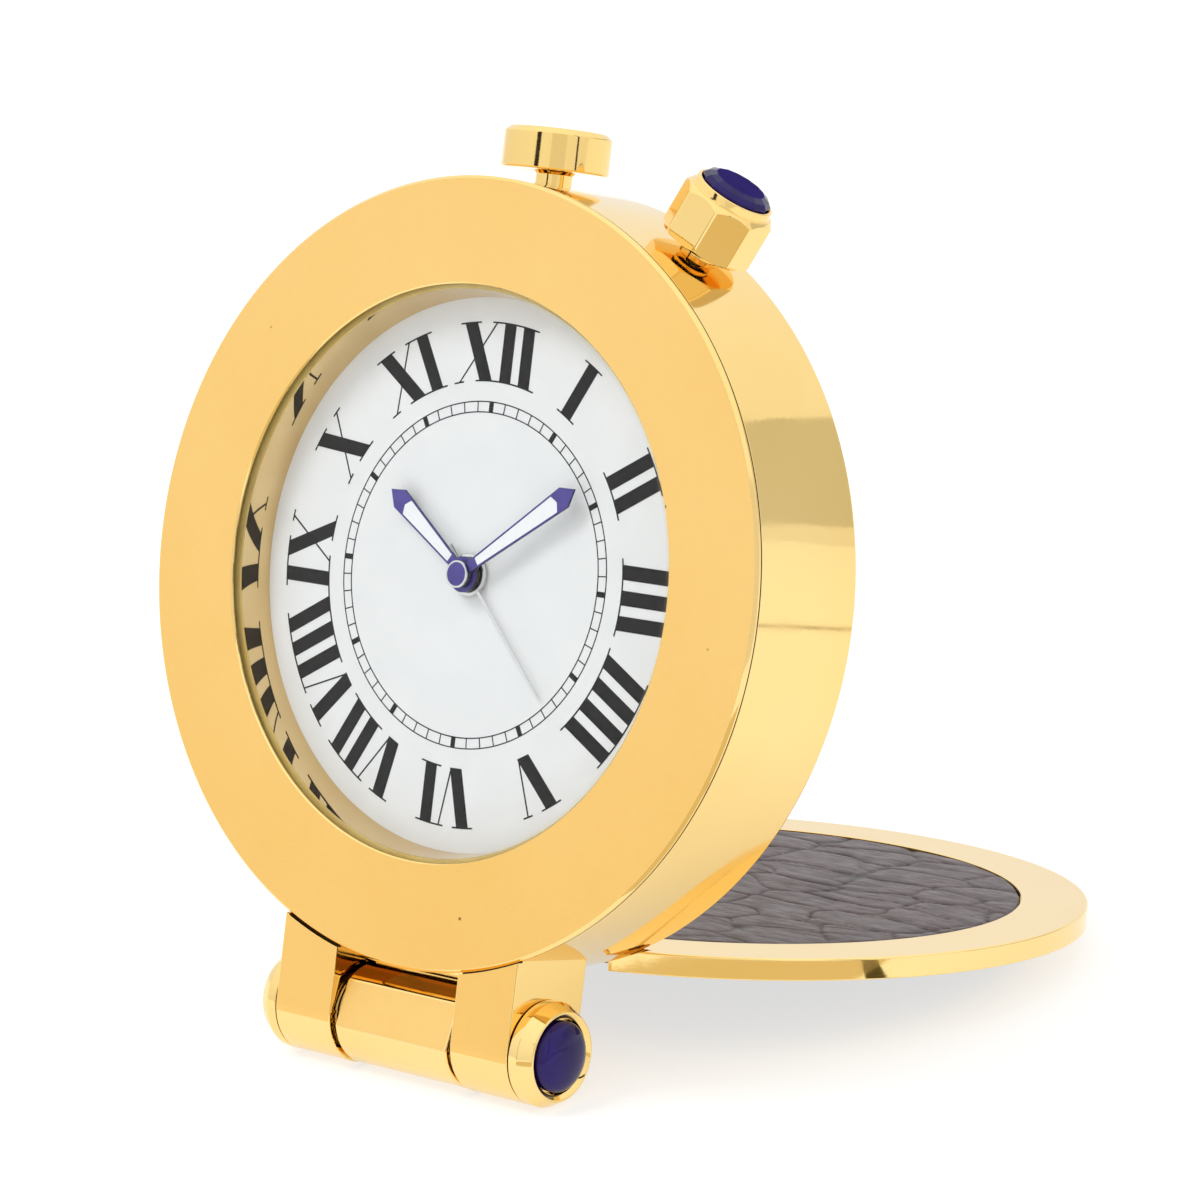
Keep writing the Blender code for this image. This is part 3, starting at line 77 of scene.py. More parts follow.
# ---------------------------------------------------------------- frames and sizes from the CAD
JOINTS = {joint["name"]: joint for joint in frame["joints"]}
MOUNTS = {mount["name"]: mount for mount in frame["record"]["mounts"]}
SLOTS = {part["node"]: part["material_slot"] for part in frame["record"]["subparts"]}
RIGHT = Vector((1.0, 0.0, 0.0))
DEPTH = Vector(JOINTS["minute_turn"]["axis"]).normalized()
UP = RIGHT.cross(DEPTH)
OUTWARD = Vector(MOUNTS["cover_leather_face"]["axis"]).normalized()
ALONG = OUTWARD.cross(RIGHT)


def frame_of(x, y, origin):
    """Local frame from its x and y directions."""
    matrix = Matrix((x, y, x.cross(y))).transposed().to_4x4()
    matrix.translation = origin
    return matrix


def local_points(node, place):
    """A CAD node's vertices in a local frame, as rows."""
    inverse = place.inverted()
    return np.array([inverse @ vertex.co for vertex in frame["nodes"][node].data.vertices])


def low_of(node, place, axis=2):
    return float(local_points(node, place)[:, axis].min())


def high_of(node, place, axis=2):
    return float(local_points(node, place)[:, axis].max())


def radii_of(points):
    return np.hypot(points[:, 0], points[:, 1])


def extents(node, place):
    """Inner and outer radius, then lowest and highest z, of a CAD node in a local frame."""
    points = local_points(node, place)
    radii, heights = radii_of(points), points[:, 2]
    return float(radii.min()), float(radii.max()), float(heights.min()), float(heights.max())


def inner_radius(node, place):
    return extents(node, place)[0]


def outer_radius(node, place):
    return extents(node, place)[1]


def beyond(node, place, radius):
    """Lowest z of the vertices that lie outside a radius."""
    points = local_points(node, place)
    return float(points[radii_of(points) > radius][:, 2].min())


def mouth_radius(node):
    """Inner radius of a ring at its front end, in the FACE frame."""
    points = local_points(node, FACE)
    front = points[:, 2] > points[:, 2].max() - 0.05 * MM
    return float(radii_of(points[front]).min())


def farthest(node, place):
    """Distance and direction of the vertex that lies farthest from local Z."""
    points = local_points(node, place)
    x, y, _ = points[radii_of(points).argmax()]
    return hypot(x, y), atan2(y, x)


AXIS_POINT = Vector(JOINTS["minute_turn"]["pos_m"])
FACE = frame_of(RIGHT, UP, AXIS_POINT)
FACE.translation = AXIS_POINT - DEPTH * high_of("front_bezel", FACE)

CASE_RADIUS = outer_radius("front_bezel", FACE)
OPENING = inner_radius("front_bezel", FACE)
CASE_BACK = low_of("case_back", FACE)
FLANGE_BACK = beyond("front_bezel", FACE, CASE_RADIUS - 0.01 * MM)
MIDDLE_DEPTH = (low_of("alarm_button", FACE) + high_of("alarm_button", FACE)) / 2
MIDDLE_POINT = FACE @ Vector((0.0, 0.0, MIDDLE_DEPTH))

CROWN_OUT = Vector(JOINTS["crown_turn"]["axis"]).normalized()
CROWN = frame_of(DEPTH, CROWN_OUT.cross(DEPTH), MIDDLE_POINT)
BUTTON = frame_of(RIGHT, DEPTH, MIDDLE_POINT)

HINGE_POINT = Vector(JOINTS["cover_hinge"]["pos_m"])
HINGE_IN_FACE = FACE.inverted() @ HINGE_POINT
HINGE = frame_of(DEPTH, UP, HINGE_POINT)
HINGE_LEFT = frame_of(UP, DEPTH, HINGE_POINT)
COVER = frame_of(RIGHT, ALONG, HINGE_POINT)
COVER_CENTRE = Vector(MOUNTS["cover_leather_face"]["pos_m"])
COVER_DISC = COVER.copy()
COVER_DISC.translation = COVER_CENTRE - OUTWARD * (COVER_CENTRE - HINGE_POINT).dot(OUTWARD)


# ---------------------------------------------------------------- mesh helpers
def rounded(profile):
    """Closed profile with its corners rounded: each corner is (u, v) or (u, v, rounding)."""
    result = []
    for i, corner in enumerate(profile):
        here = Vector(corner[:2])
        radius = corner[2] if len(corner) > 2 else 0.0
        if radius <= 0.0:
            result.append(tuple(here))
            continue
        before = (Vector(profile[i - 1][:2]) - here).normalized()
        after = (Vector(profile[(i + 1) % len(profile)][:2]) - here).normalized()
        half = acos(max(-1.0, min(1.0, before.dot(after)))) / 2
        middle = here + (before + after).normalized() * radius / sin(half)
        start = here + before * radius / tan(half) - middle
        sweep = pi - 2 * half
        turn = 1.0 if before.cross(after) < 0.0 else -1.0
        for step in range(FILLET_STEPS + 1):
            angle = turn * sweep * step / FILLET_STEPS
            x = start.x * cos(angle) - start.y * sin(angle)
            y = start.x * sin(angle) + start.y * cos(angle)
            result.append(tuple(middle + Vector((x, y))))
    return result


def new_object(name, mesh, place):
    piece = bpy.data.objects.new(name, mesh)
    bpy.context.scene.collection.objects.link(piece)
    piece.matrix_world = place
    return piece


def mesh_object(name, shape, place):
    """Object from a filled bmesh, with its faces turned out."""
    bmesh.ops.remove_doubles(shape, verts=shape.verts, dist=SAME_POINT)
    bmesh.ops.recalc_face_normals(shape, faces=shape.faces)
    mesh = bpy.data.meshes.new(name)
    shape.to_mesh(mesh)
    shape.free()
    return new_object(name, mesh, place)


def spin_profile(shape, profile, steps):
    """Adds a closed turned solid round local Z to a bmesh."""
    rings = []
    turns = [2 * pi * i / steps for i in range(steps)]
    for radius, height in profile:
        if radius < MICRON:
            rings.append([shape.verts.new((0.0, 0.0, height))])
            continue
        rings.append([shape.verts.new((radius * cos(a), radius * sin(a), height)) for a in turns])
    for first, second in zip(rings, rings[1:] + rings[:1]):
        for i in range(steps):
            j = (i + 1) % steps
            corners = [ring[k % len(ring)] for ring, k in ((first, i), (first, j), (second, j), (second, i))]
            distinct = list(dict.fromkeys(corners))
            if len(distinct) > 2:
                shape.faces.new(distinct)


def lathe(name, profile, place, steps=LATHE_STEPS):
    """Closed turned solid from (radius, height, rounding) corners."""
    shape = bmesh.new()
    spin_profile(shape, rounded(profile), steps)
    return mesh_object(name, shape, place)


def evaluated_mesh(piece):
    """New mesh of an object with its modifiers applied."""
    return bpy.data.meshes.new_from_object(piece.evaluated_get(bpy.context.evaluated_depsgraph_get()))


def prism(name, loops, low, high, place, edge=0.0):
    """Flat plate between two heights: the first loop is its outline, the rest are holes."""
    curve = bpy.data.curves.new(name, "CURVE")
    curve.dimensions = "2D"
    curve.fill_mode = "BOTH"
    curve.extrude = (high - low) / 2 - edge
    curve.bevel_depth = edge
    curve.bevel_resolution = 1
    curve.offset = -edge
    for loop in loops:
        spline = curve.splines.new("POLY")
        spline.points.add(len(loop) - 1)
        for point, (u, v) in zip(spline.points, loop):
            point.co = (u, v, 0.0, 1.0)
        spline.use_cyclic_u = True
    guide = new_object(name + "_outline", curve, Matrix.Identity(4))
    solid = evaluated_mesh(guide)
    bpy.data.objects.remove(guide)
    bpy.data.curves.remove(curve)
    shape = bmesh.new()
    shape.from_mesh(solid)
    bpy.data.meshes.remove(solid)
    bmesh.ops.translate(shape, verts=shape.verts, vec=(0.0, 0.0, (low + high) / 2))
    return mesh_object(name, shape, place)


def box(name, low, high, place):
    """Box between two corners, as a tool for cutting."""
    size = Vector(high) - Vector(low)
    centre = (Vector(high) + Vector(low)) / 2
    shape = bmesh.new()
    bmesh.ops.create_cube(shape, size=1.0, matrix=Matrix.Translation(centre) @ Matrix.Diagonal((*size, 1.0)))
    return mesh_object(name, shape, place)


def rod(name, radius, low, high, place, steps=SMALL_STEPS):
    """Plain rod, as a tool for cutting."""
    return lathe(name, [(0.0, high), (radius, high), (radius, low), (0.0, low)], place, steps)


def combine(piece, tool, operation, use_self=False):
    """Applies a Boolean with a tool, then removes the tool."""
    step = piece.modifiers.new(operation, "BOOLEAN")
    step.operation = operation
    step.solver = "EXACT"
    step.use_self = use_self
    step.object = tool
    bpy.context.view_layer.update()
    result = evaluated_mesh(piece)
    piece.modifiers.clear()
    old = piece.data
    piece.data = result
    result.name = piece.name
    bpy.data.meshes.remove(old)
    bpy.data.objects.remove(tool)
    return piece


def cut(piece, tool):
    return combine(piece, tool, "DIFFERENCE")


def fuse(piece, tool, use_self=False):
    return combine(piece, tool, "UNION", use_self)


def merged(name, pieces):
    """One closed solid from overlapping solids that share a frame."""
    place = pieces[0].matrix_world.copy()
    last = pieces[-1]
    if len(pieces) == 1:
        last.name = name
        return last
    shape = bmesh.new()
    for piece in pieces[:-1]:
        shape.from_mesh(piece.data)
        bpy.data.objects.remove(piece)
    body = mesh_object(name, shape, place)
    return fuse(body, last, use_self=True)


def arc_points(radius, start, end, count):
    """Points along an arc round the origin, both ends included."""
    turns = [start + (end - start) * i / (count - 1) for i in range(count)]
    return [(radius * cos(a), radius * sin(a)) for a in turns]


def circle_points(radius, count, start=0.0):
    return arc_points(radius, start, start + 2 * pi * (count - 1) / count, count)


def settle(piece):
    """Turns a piece's mesh instead of its object, so that its bound box is its real extent."""
    place = piece.matrix_world.copy()
    piece.data.transform(place.to_3x3().to_4x4())
    piece.matrix_world = Matrix.Translation(place.translation)


def facing(limit, then=1, otherwise=0):
    """Rule that picks a material for faces whose normal points along local Z by over a limit."""
    return lambda face: then if face.normal.z > limit else otherwise


def dress(piece, body, slot, nodes=(), materials=(), paint=None, smooth=True):
    """Gives a piece its materials, by name, shading and body; paint picks a material for a face."""
    for name in materials or [slot]:
        piece.data.materials.append(LOOKS[name])
    if smooth:
        piece.data.shade_smooth()
        piece.data.set_sharp_from_angle(angle=SHARP_ANGLE)
        normals = piece.modifiers.new("even_normals", "WEIGHTED_NORMAL")
        normals.keep_sharp = True
    else:
        piece.data.shade_flat()
    for face in piece.data.polygons:
        face.material_index = paint(face) if paint else 0
    settle(piece)
    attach(piece, body)
    if nodes:
        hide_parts(*nodes)


def make_ring(name, node, place, slot, steps=SMALL_STEPS, mouth=0.0, brim=0.0, foot=0.0):
    """Turned ring of a CAD ring's size, eased at its inner top, outer top and outer foot."""
    inner, outer, low, high = extents(node, place)
    corners = [(inner, low), (inner, high, mouth), (outer, high, brim), (outer, low, foot)]
    dress(lathe(name, corners, place, steps), "case", slot, [node])


# ---------------------------------------------------------------- material helpers
def plug(tree, socket, value):
    """Links an input to another socket, or sets it to a plain value."""
    if isinstance(value, bpy.types.NodeSocket):
        tree.links.new(value, socket)
    else:
        socket.default_value = (*value, 1.0) if socket.type == "RGBA" else value


def add_node(tree, kind, **values):
    """Shader node with its settings and inputs, an input's spaces written as underscores."""
    node = tree.nodes.new(kind)
    for key, value in values.items():
        socket = key.replace("_", " ")
        if socket in node.inputs.keys():
            plug(tree, node.inputs[socket], value)
        else:
            setattr(node, key, value)
    return node


class Look:
    """A node material under construction, with Object coordinates in metres."""

    def __init__(self, name, colour, roughness, metallic=0.0, **inputs):
        self.name = name
        self.material = bpy.data.materials.new(name)
        self.material.use_nodes = True
        self.material.diffuse_color = (*colour, 1.0)
        self.tree = self.material.node_tree
        self.shader = self.tree.nodes["Principled BSDF"]
        self.set(Base_Color=colour, Roughness=roughness, Metallic=metallic, **inputs)
        self.coordinates = self.node("ShaderNodeTexCoord").outputs["Object"]

    def set(self, **inputs):
        """Sets or links inputs of the surface shader."""
        for key, value in inputs.items():
            plug(self.tree, self.shader.inputs[key.replace("_", " ")], value)

    def node(self, kind, **values):
        return add_node(self.tree, kind, **values)

    def mapped(self, **values):
        return self.node("ShaderNodeMapping", Vector=self.coordinates, **values).outputs["Vector"]

    def noise(self, scale, detail=2.0, roughness=0.5, stretch=None):
        """Noise whose coordinates can be multiplied by a scale for each axis."""
        place = self.mapped(Scale=stretch) if stretch else self.coordinates
        values = {"Scale": scale, "Detail": detail, "Roughness": roughness, "Vector": place}
        return self.node("ShaderNodeTexNoise", **values).outputs["Fac"]

    def cells(self, scale, feature="F1"):
        texture = self.node("ShaderNodeTexVoronoi", feature=feature, Scale=scale, Vector=self.coordinates)
        return texture.outputs["Distance"]

    def axis(self, name, vector=None):
        """One coordinate along an axis."""
        return self.node("ShaderNodeSeparateXYZ", Vector=vector or self.coordinates).outputs[name]

    def span(self, value, low=0.3, high=0.7, to_low=0.0, to_high=1.0):
        """A value stretched from one range to another, and clamped."""
        ends = {"From_Min": low, "From_Max": high, "To_Min": to_low, "To_Max": to_high}
        return self.node("ShaderNodeMapRange", Value=value, **ends).outputs["Result"]

    def blend(self, share, first, second):
        """Colour that goes from the first to the second."""
        mix = self.node("ShaderNodeMix", data_type="RGBA", Factor=share, A=first, B=second)
        return mix.outputs["Result"]

    def maths(self, operation, first, second):
        node = self.node("ShaderNodeMath", operation=operation)
        for socket, value in zip(node.inputs, (first, second)):
            plug(self.tree, socket, value)
        return node.outputs["Value"]

    def tones(self, texture, dark, light):
        """Base colour that drifts between two tones."""
        self.set(Base_Color=self.blend(self.span(texture), dark, light))

    def rough(self, texture, smoothest, roughest, low=0.3, high=0.7):
        self.set(Roughness=self.span(texture, low, high, smoothest, roughest))

    def bump(self, *heights):
        """Surface relief from (height, depth in microns) pairs."""
        below = {}
        for height, depth in heights:
            values = {"Strength": 1.0, "Distance": depth * MICRON, "Height": height, **below}
            below = {"Normal": self.node("ShaderNodeBump", **values).outputs["Normal"]}
        self.set(**below)

    def veil(self, tint, share, **sheen):
        """Turns the material into clear glass with a share of mirror sheen over it."""
        clear = self.node("ShaderNodeBsdfTransparent", Color=tint)
        mirror = self.node("ShaderNodeBsdfGlossy", **sheen)
        mix = self.node("ShaderNodeMixShader", Fac=share)
        for socket, layer in zip(list(mix.inputs)[1:], (clear, mirror)):
            plug(self.tree, socket, layer.outputs["BSDF"])
        plug(self.tree, self.tree.nodes["Material Output"].inputs["Surface"], mix.outputs["Shader"])


def noise_look(name, colour, roughness, metallic, tones, rough, *reliefs, **inputs):
    """Look from noises: tones (noise, dark, light), rough (noise, low, high), reliefs (noise, depth)."""
    look = Look(name, colour, roughness, metallic, **inputs)
    if tones:
        look.tones(look.noise(*tones[0]), *tones[1:])
    if rough:
        look.rough(look.noise(*rough[0]), *rough[1:])
    look.bump(*[(look.noise(*noise), depth) for noise, depth in reliefs])
    return look


# ---------------------------------------------------------------- materials
GOLD = (0.93, 0.62, 0.21)
GOLD_PALE = (0.96, 0.69, 0.28)
# Deeper orange of the hinge pocket: painted bounced light.
GOLD_PAINTED_BOUNCE = (0.86, 0.50, 0.14)
SATIN = (0.955, 0.648, 0.235)
# Warmer, darker satin tone: random drift, and painted shade towards the bottom of the case.
SATIN_SHADE_AND_TONE = (0.905, 0.570, 0.170)
POLISH = (0.93, 0.66, 0.24)
POLISH_PALE = (0.96, 0.71, 0.30)
TARNISH = (0.30, 0.15, 0.04)
# Orange glow of the hinge pocket: painted bounced light, though no lamp is there.
PAINTED_BOUNCE_GLOW = (1.0, 0.42, 0.06)
WHITE = (1.0, 1.0, 1.0)


def satin_gold():
    """Fine-blasted gold plating with a few pinholes and hairlines, painted warmer and darker towards the bottom as
    painted shade.
    """
    look = Look("satin_gold", SATIN, 0.42, 1.0)
    # Painted shade: the tone runs from warmer, darker gold at the bottom to paler gold at the top.
    height = look.span(look.axis("Z"), -34 * MM, 24 * MM, 0.0, 0.8)
    cloud = look.span(look.noise(45.0, 3.0), to_low=-0.15, to_high=0.3)
    tone = look.blend(look.maths("ADD", height, cloud), SATIN_SHADE_AND_TONE, SATIN)
    speck = look.span(look.cells(330.0), 0.03, 0.06, 1.0, 0.0)
    pinhole = look.maths("MULTIPLY", speck, look.span(look.noise(170.0, 0.0), 0.585, 0.62))
    look.set(Base_Color=look.blend(pinhole, tone, TARNISH))
    look.rough(look.noise(900.0, 3.0), 0.38, 0.46)
    hairline = look.noise(1100.0, 1.0, stretch=(0.12, 1.4, 1.4))
    look.bump((look.noise(5200.0), 18), (hairline, 8), (pinhole, -30))
    return look


def turned_gold():
    """Gold plating with the concentric marks of a lathe, round the dial axis."""
    look = Look("turned_gold", GOLD, 0.25, 1.0)
    turned = look.mapped(Rotation=FACE.to_3x3().inverted().to_euler())
    squares = [look.maths("MULTIPLY", *[look.axis(name, turned)] * 2) for name in "XY"]
    radius = look.maths("POWER", look.maths("ADD", *squares), 0.5)
    mark = look.maths("MULTIPLY", radius, 6000.0)
    rings = look.node("ShaderNodeTexNoise", noise_dimensions="1D", Scale=1.0, Detail=2.0, W=mark)
    smear = look.noise(120.0, 3.0)
    look.tones(smear, GOLD, GOLD_PALE)
    look.rough(smear, 0.25, 0.30)
    look.bump((rings.outputs["Fac"], 8))
    return look


def crystal_clear():
    """Clear flat glass: a fresnel sheen over what lies behind it."""
    look = Look("crystal_glass", (0.95, 0.97, 0.98), 0.0)
    tilt = look.node("ShaderNodeFresnel", IOR=1.2).outputs["Fac"]
    smear = look.span(look.noise(90.0, 3.0), to_low=0.72, to_high=0.78)
    look.veil((0.985, 0.99, 0.99), look.maths("MULTIPLY", tilt, smear), Roughness=0.0)
    return look


def crystal_rim_painted_shade():
    """Faint olive tint and olive sheen on the glass's outer zone: painted shade that dulls the ledge seen beneath
    it to olive.
    """
    look = Look("crystal_rim_painted_shade", (0.62, 0.52, 0.32), 0.1)
    share = look.span(look.noise(150.0), to_low=0.03, to_high=0.09)
    # Painted shade: the olive tint and sheen darken the ledge seen through this zone.
    look.veil((0.97, 0.96, 0.91), share, Color=(0.8, 0.72, 0.5), Roughness=0.15)
    return look


def hand_side_shade():
    """Dark edge of the hands and their hubs: painted shade on the faces that do not face the front."""
    # Painted shade: a darker copy of the hands' violet for their sides.
    look = Look("hand_edge_shade", (0.02, 0.018, 0.045), 0.3, 0.4)
    look.set(Base_Color=look.blend(look.noise(900.0), (0.012, 0.011, 0.028), (0.03, 0.026, 0.07)))
    look.bump((look.noise(5000.0), 3))
    return look


def violet_stone(name, rim_shade, core, roughness, specular):
    """Blue-violet synthetic stone with a thin gloss, darker towards its rim where its surface turns from the view:
    painted shade.
    """
    look = Look(name, core, roughness, Specular_IOR_Level=specular)
    shade = tuple(0.7 * share for share in core)
    lit = look.blend(look.span(look.noise(420.0), 0.35, 0.65), shade, core)
    # Painted shade: the colour goes to the dark rim tone where the surface turns from the view.
    facing_away = look.node("ShaderNodeLayerWeight", Blend=0.3).outputs["Facing"]
    look.set(Base_Color=look.blend(look.span(facing_away, 0.05, 0.75), lit, rim_shade))
    look.bump((look.noise(1500.0, 1.0), 1.5))
    return look


def crocodile():
    """Glazed crocodile leather: dark creases, reddish scale borders and a soft sheen."""
    look = Look("leather_brown", (0.10, 0.075, 0.08), 0.4, Specular_IOR_Level=0.38)
    height = look.node("ShaderNodeAttribute", attribute_name="relief").outputs["Fac"]
    border = look.node("ShaderNodeAttribute", attribute_name="border").outputs["Fac"]
    cloud = look.span(look.noise(240.0, 4.0, 0.6))
    tone = look.blend(cloud, (0.074, 0.050, 0.052), (0.118, 0.086, 0.090))
    edged = look.blend(look.span(border, 0.25, 0.8, 0.0, 0.85), tone, (0.062, 0.020, 0.020))
    creased = look.blend(look.span(height, 0.15, 0.6, 0.9, 0.0), edged, (0.016, 0.008, 0.010))
    look.set(Base_Color=creased)
    wrinkles = look.noise(900.0, 4.0, 0.6, (0.5, 1.5, 1.0))
    look.rough(wrinkles, 0.34, 0.55)
    look.bump((wrinkles, 50), (look.cells(2600.0), 20))
    return look


def circuit_green():
    """Solder mask over copper tracks."""
    look = Look("board_green", (0.03, 0.20, 0.08), 0.4)
    tracks = look.span(look.cells(650.0, "DISTANCE_TO_EDGE"), 0.08, 0.12, 1.0, 0.0)
    look.set(Base_Color=look.blend(tracks, (0.02, 0.14, 0.055), (0.05, 0.27, 0.10)))
    look.bump((tracks, 20))
    return look


def wound_copper():
    """Enamelled copper wire, wound side by side, painted darker between the turns as painted shade."""
    look = Look("copper_wire", (0.70, 0.30, 0.14), 0.3, 1.0)
    bands = {"wave_type": "BANDS", "bands_direction": "X", "Scale": 3000.0, "Distortion": 0.4}
    turns = look.node("ShaderNodeTexWave", Vector=look.coordinates, **bands).outputs["Fac"]
    # Painted shade: each turn is lighter in its middle and darker where it meets the next.
    look.set(Base_Color=look.blend(turns, (0.40, 0.14, 0.06), (0.74, 0.33, 0.16)))
    look.bump((turns, 30))
    return look


def polished_gold():
    """Mirror-polished gold plating with handling smears and faint waviness."""
    tones = (45.0,), POLISH, POLISH_PALE
    rough = (160.0, 4.0, 0.6), 0.04, 0.11, 0.35, 0.75
    return noise_look("polished_gold", POLISH, 0.06, 1.0, tones, rough, ((70.0, 1.0), 90), ((2600.0,), 1.2))


def rim_gold():
    """Dull olive gold of the ledge under the glass."""
    tones = (220.0,), (0.80, 0.57, 0.18), (0.92, 0.70, 0.26)
    colour, relief = (0.90, 0.66, 0.22), ((2500.0, 1.0), 4)
    return noise_look("rim_gold", colour, 0.5, 0.0, tones, None, relief, Specular_IOR_Level=0.3)


def pocket_painted_bounce():
    """Gold of the hinge pocket, painted a deeper orange with a faint glow: painted light for the light that
    arrives there after several reflections.
    """
    tones = (160.0,), GOLD_PAINTED_BOUNCE, GOLD
    look = noise_look("pocket_painted_bounce", GOLD_PAINTED_BOUNCE, 0.3, 1.0, tones, None, ((300.0,), 20))
    # Painted glow: the pocket gives off a little orange light of its own.
    look.set(Emission_Color=PAINTED_BOUNCE_GLOW, Emission_Strength=0.16)
    return look


def mirror_gold():
    """Duller, very smooth gold of the wall round the dial, which mirrors the numerals."""
    tones = (200.0,), (0.76, 0.54, 0.25), (0.80, 0.59, 0.30)
    return noise_look("mirror_gold", (0.78, 0.56, 0.27), 0.03, 1.0, tones, None, ((300.0, 1.0), 4))


def enamel_white():
    """Matt white dial enamel with a barely visible orange peel."""
    tones = (260.0, 3.0), (0.82, 0.83, 0.835), (0.86, 0.865, 0.87)
    colour, relief = (0.82, 0.835, 0.85), ((2200.0,), 6)
    return noise_look("dial_white", colour, 0.5, 0.0, tones, None, relief, Specular_IOR_Level=0.3)


def print_ink():
    """Slightly raised, near-black dial print."""
    tones = (1500.0,), (0.014, 0.013, 0.014), (0.024, 0.022, 0.023)
    colour, relief = (0.018, 0.016, 0.017), ((6000.0,), 4)
    return noise_look("print_ink", colour, 0.5, 0.0, tones, None, relief, Specular_IOR_Level=0.15)


def violet_steel():
    """Blue-violet lacquered steel of the hands."""
    tones = (700.0,), (0.055, 0.038, 0.25), (0.08, 0.058, 0.32)
    coat = {"Coat_Weight": 0.3, "Coat_Roughness": 0.15}
    return noise_look("blue_steel", (0.07, 0.05, 0.29), 0.35, 0.3, tones, None, ((5000.0,), 3), **coat)


def luminous_white():
    """White filling of the hands, with a fine powdery grain."""
    grain = (4200.0, 3.0)
    tones = grain, (0.86, 0.88, 0.91), (0.93, 0.94, 0.95)
    return noise_look("luminous_white", (0.9, 0.91, 0.93), 0.6, 0.0, tones, None, (grain, 8))


def bright_silver():
    """Bright metal of the alarm hand and the hand cap's rim."""
    rough = (1500.0, 3.0), 0.14, 0.3
    brushed = (3000.0, 1.0, 0.5, (0.2, 2.0, 1.0))
    return noise_look("silver", (0.78, 0.78, 0.79), 0.2, 1.0, None, rough, (brushed, 3))


def suede():
    """Black suede lining with a brushed nap."""
    nap = (900.0, 4.0, 0.65, (1.0, 2.2, 1.0))
    tones = nap, (0.018, 0.017, 0.019), (0.05, 0.047, 0.05)
    sheen = {"Sheen_Weight": 0.5, "Sheen_Roughness": 0.5}
    reliefs = (nap, 120), ((5200.0,), 30)
    return noise_look("suede_black", (0.03, 0.028, 0.03), 0.95, 0.0, tones, None, *reliefs, **sheen)


def brass():
    """Movement brass with a grained finish."""
    grain = (700.0, 3.0, 0.5, (0.1, 2.5, 1.0))
    tones = grain, (0.72, 0.54, 0.24), (0.82, 0.64, 0.31)
    rough = (300.0, 3.0), 0.22, 0.4
    return noise_look("movement_brass", (0.78, 0.60, 0.28), 0.3, 1.0, tones, rough, (grain, 6))


def steel():
    """Brushed spring steel."""
    grain = (900.0, 3.0, 0.5, (2.5, 0.1, 1.0))
    tones = grain, (0.50, 0.51, 0.53), (0.61, 0.62, 0.64)
    return noise_look("spring_steel", (0.55, 0.56, 0.58), 0.25, 1.0, tones, (grain, 0.18, 0.34), (grain, 5))


def plastic(name, dark, light, roughness):
    """Moulded plastic with a fine sparked texture."""
    mottle = (1200.0, 3.0)
    rough = mottle, roughness - 0.08, roughness + 0.08
    return noise_look(name, dark, roughness, 0.0, (mottle, dark, light), rough, ((4200.0,), 10))


MADE = [
    satin_gold(),
    polished_gold(),
    turned_gold(),
    mirror_gold(),
    pocket_painted_bounce(),
    rim_gold(),
    enamel_white(),
    print_ink(),
    crystal_clear(),
    crystal_rim_painted_shade(),
    crocodile(),
    suede(),
    violet_steel(),
    hand_side_shade(),
    luminous_white(),
    bright_silver(),
    brass(),
    steel(),
    circuit_green(),
    wound_copper(),
    violet_stone("cabochon_blue", (0.004, 0.002, 0.022), (0.020, 0.009, 0.125), 0.07, 0.25),
    # Paler copy of the stone for the crown stone's table: painted highlight.
    violet_stone("cabochon_table_lit", (0.020, 0.013, 0.10), (0.062, 0.046, 0.25), 0.3, 0.0),
    plastic("moulded_plastic", (0.70, 0.70, 0.67), (0.78, 0.78, 0.75), 0.5),
    plastic("black_plastic", (0.03, 0.03, 0.034), (0.05, 0.05, 0.055), 0.45),
    plastic("rubber_black", (0.022, 0.022, 0.022), (0.04, 0.04, 0.04), 0.75),
    # Dark brown for the faces inside the seam between bezel and drum: painted shade in the gap.
    plastic("seam_painted_shade", (0.030, 0.016, 0.006), (0.055, 0.030, 0.012), 0.6),
]
LOOKS = {look.name: look.material for look in MADE}


def paint_cad_nodes():
    """Procedural finish on every CAD node, by its material slot."""
    for name, node in frame["nodes"].items():
        node.data.materials.clear()
        node.data.materials.append(LOOKS[SLOTS[name]])


# ---------------------------------------------------------------- case
EDGE = 0.12 * MM
SEAM_SHOWN = 0.14 * MM
LEVEL = 0.98
BACKWARD = 0.9
PIN_BORE = 1.75 * MM
PIN_REACH = 20 * MM
FAR = 40 * MM
BEZEL_STEP = 30.7 * MM
BEZEL_BACK = -1.5 * MM
LUG_ROOT = 29.5 * MM
LUG_STEPS = 49
LUG_INNER = high_of("friction_washer_right", HINGE) + 0.1 * MM
CAP_RIM = outer_radius("hinge_cap_right", HINGE) - 0.05 * MM
LUG_OUTER = beyond("hinge_cap_right", HINGE, CAP_RIM) - 0.1 * MM
POCKET = 8.7 * MM


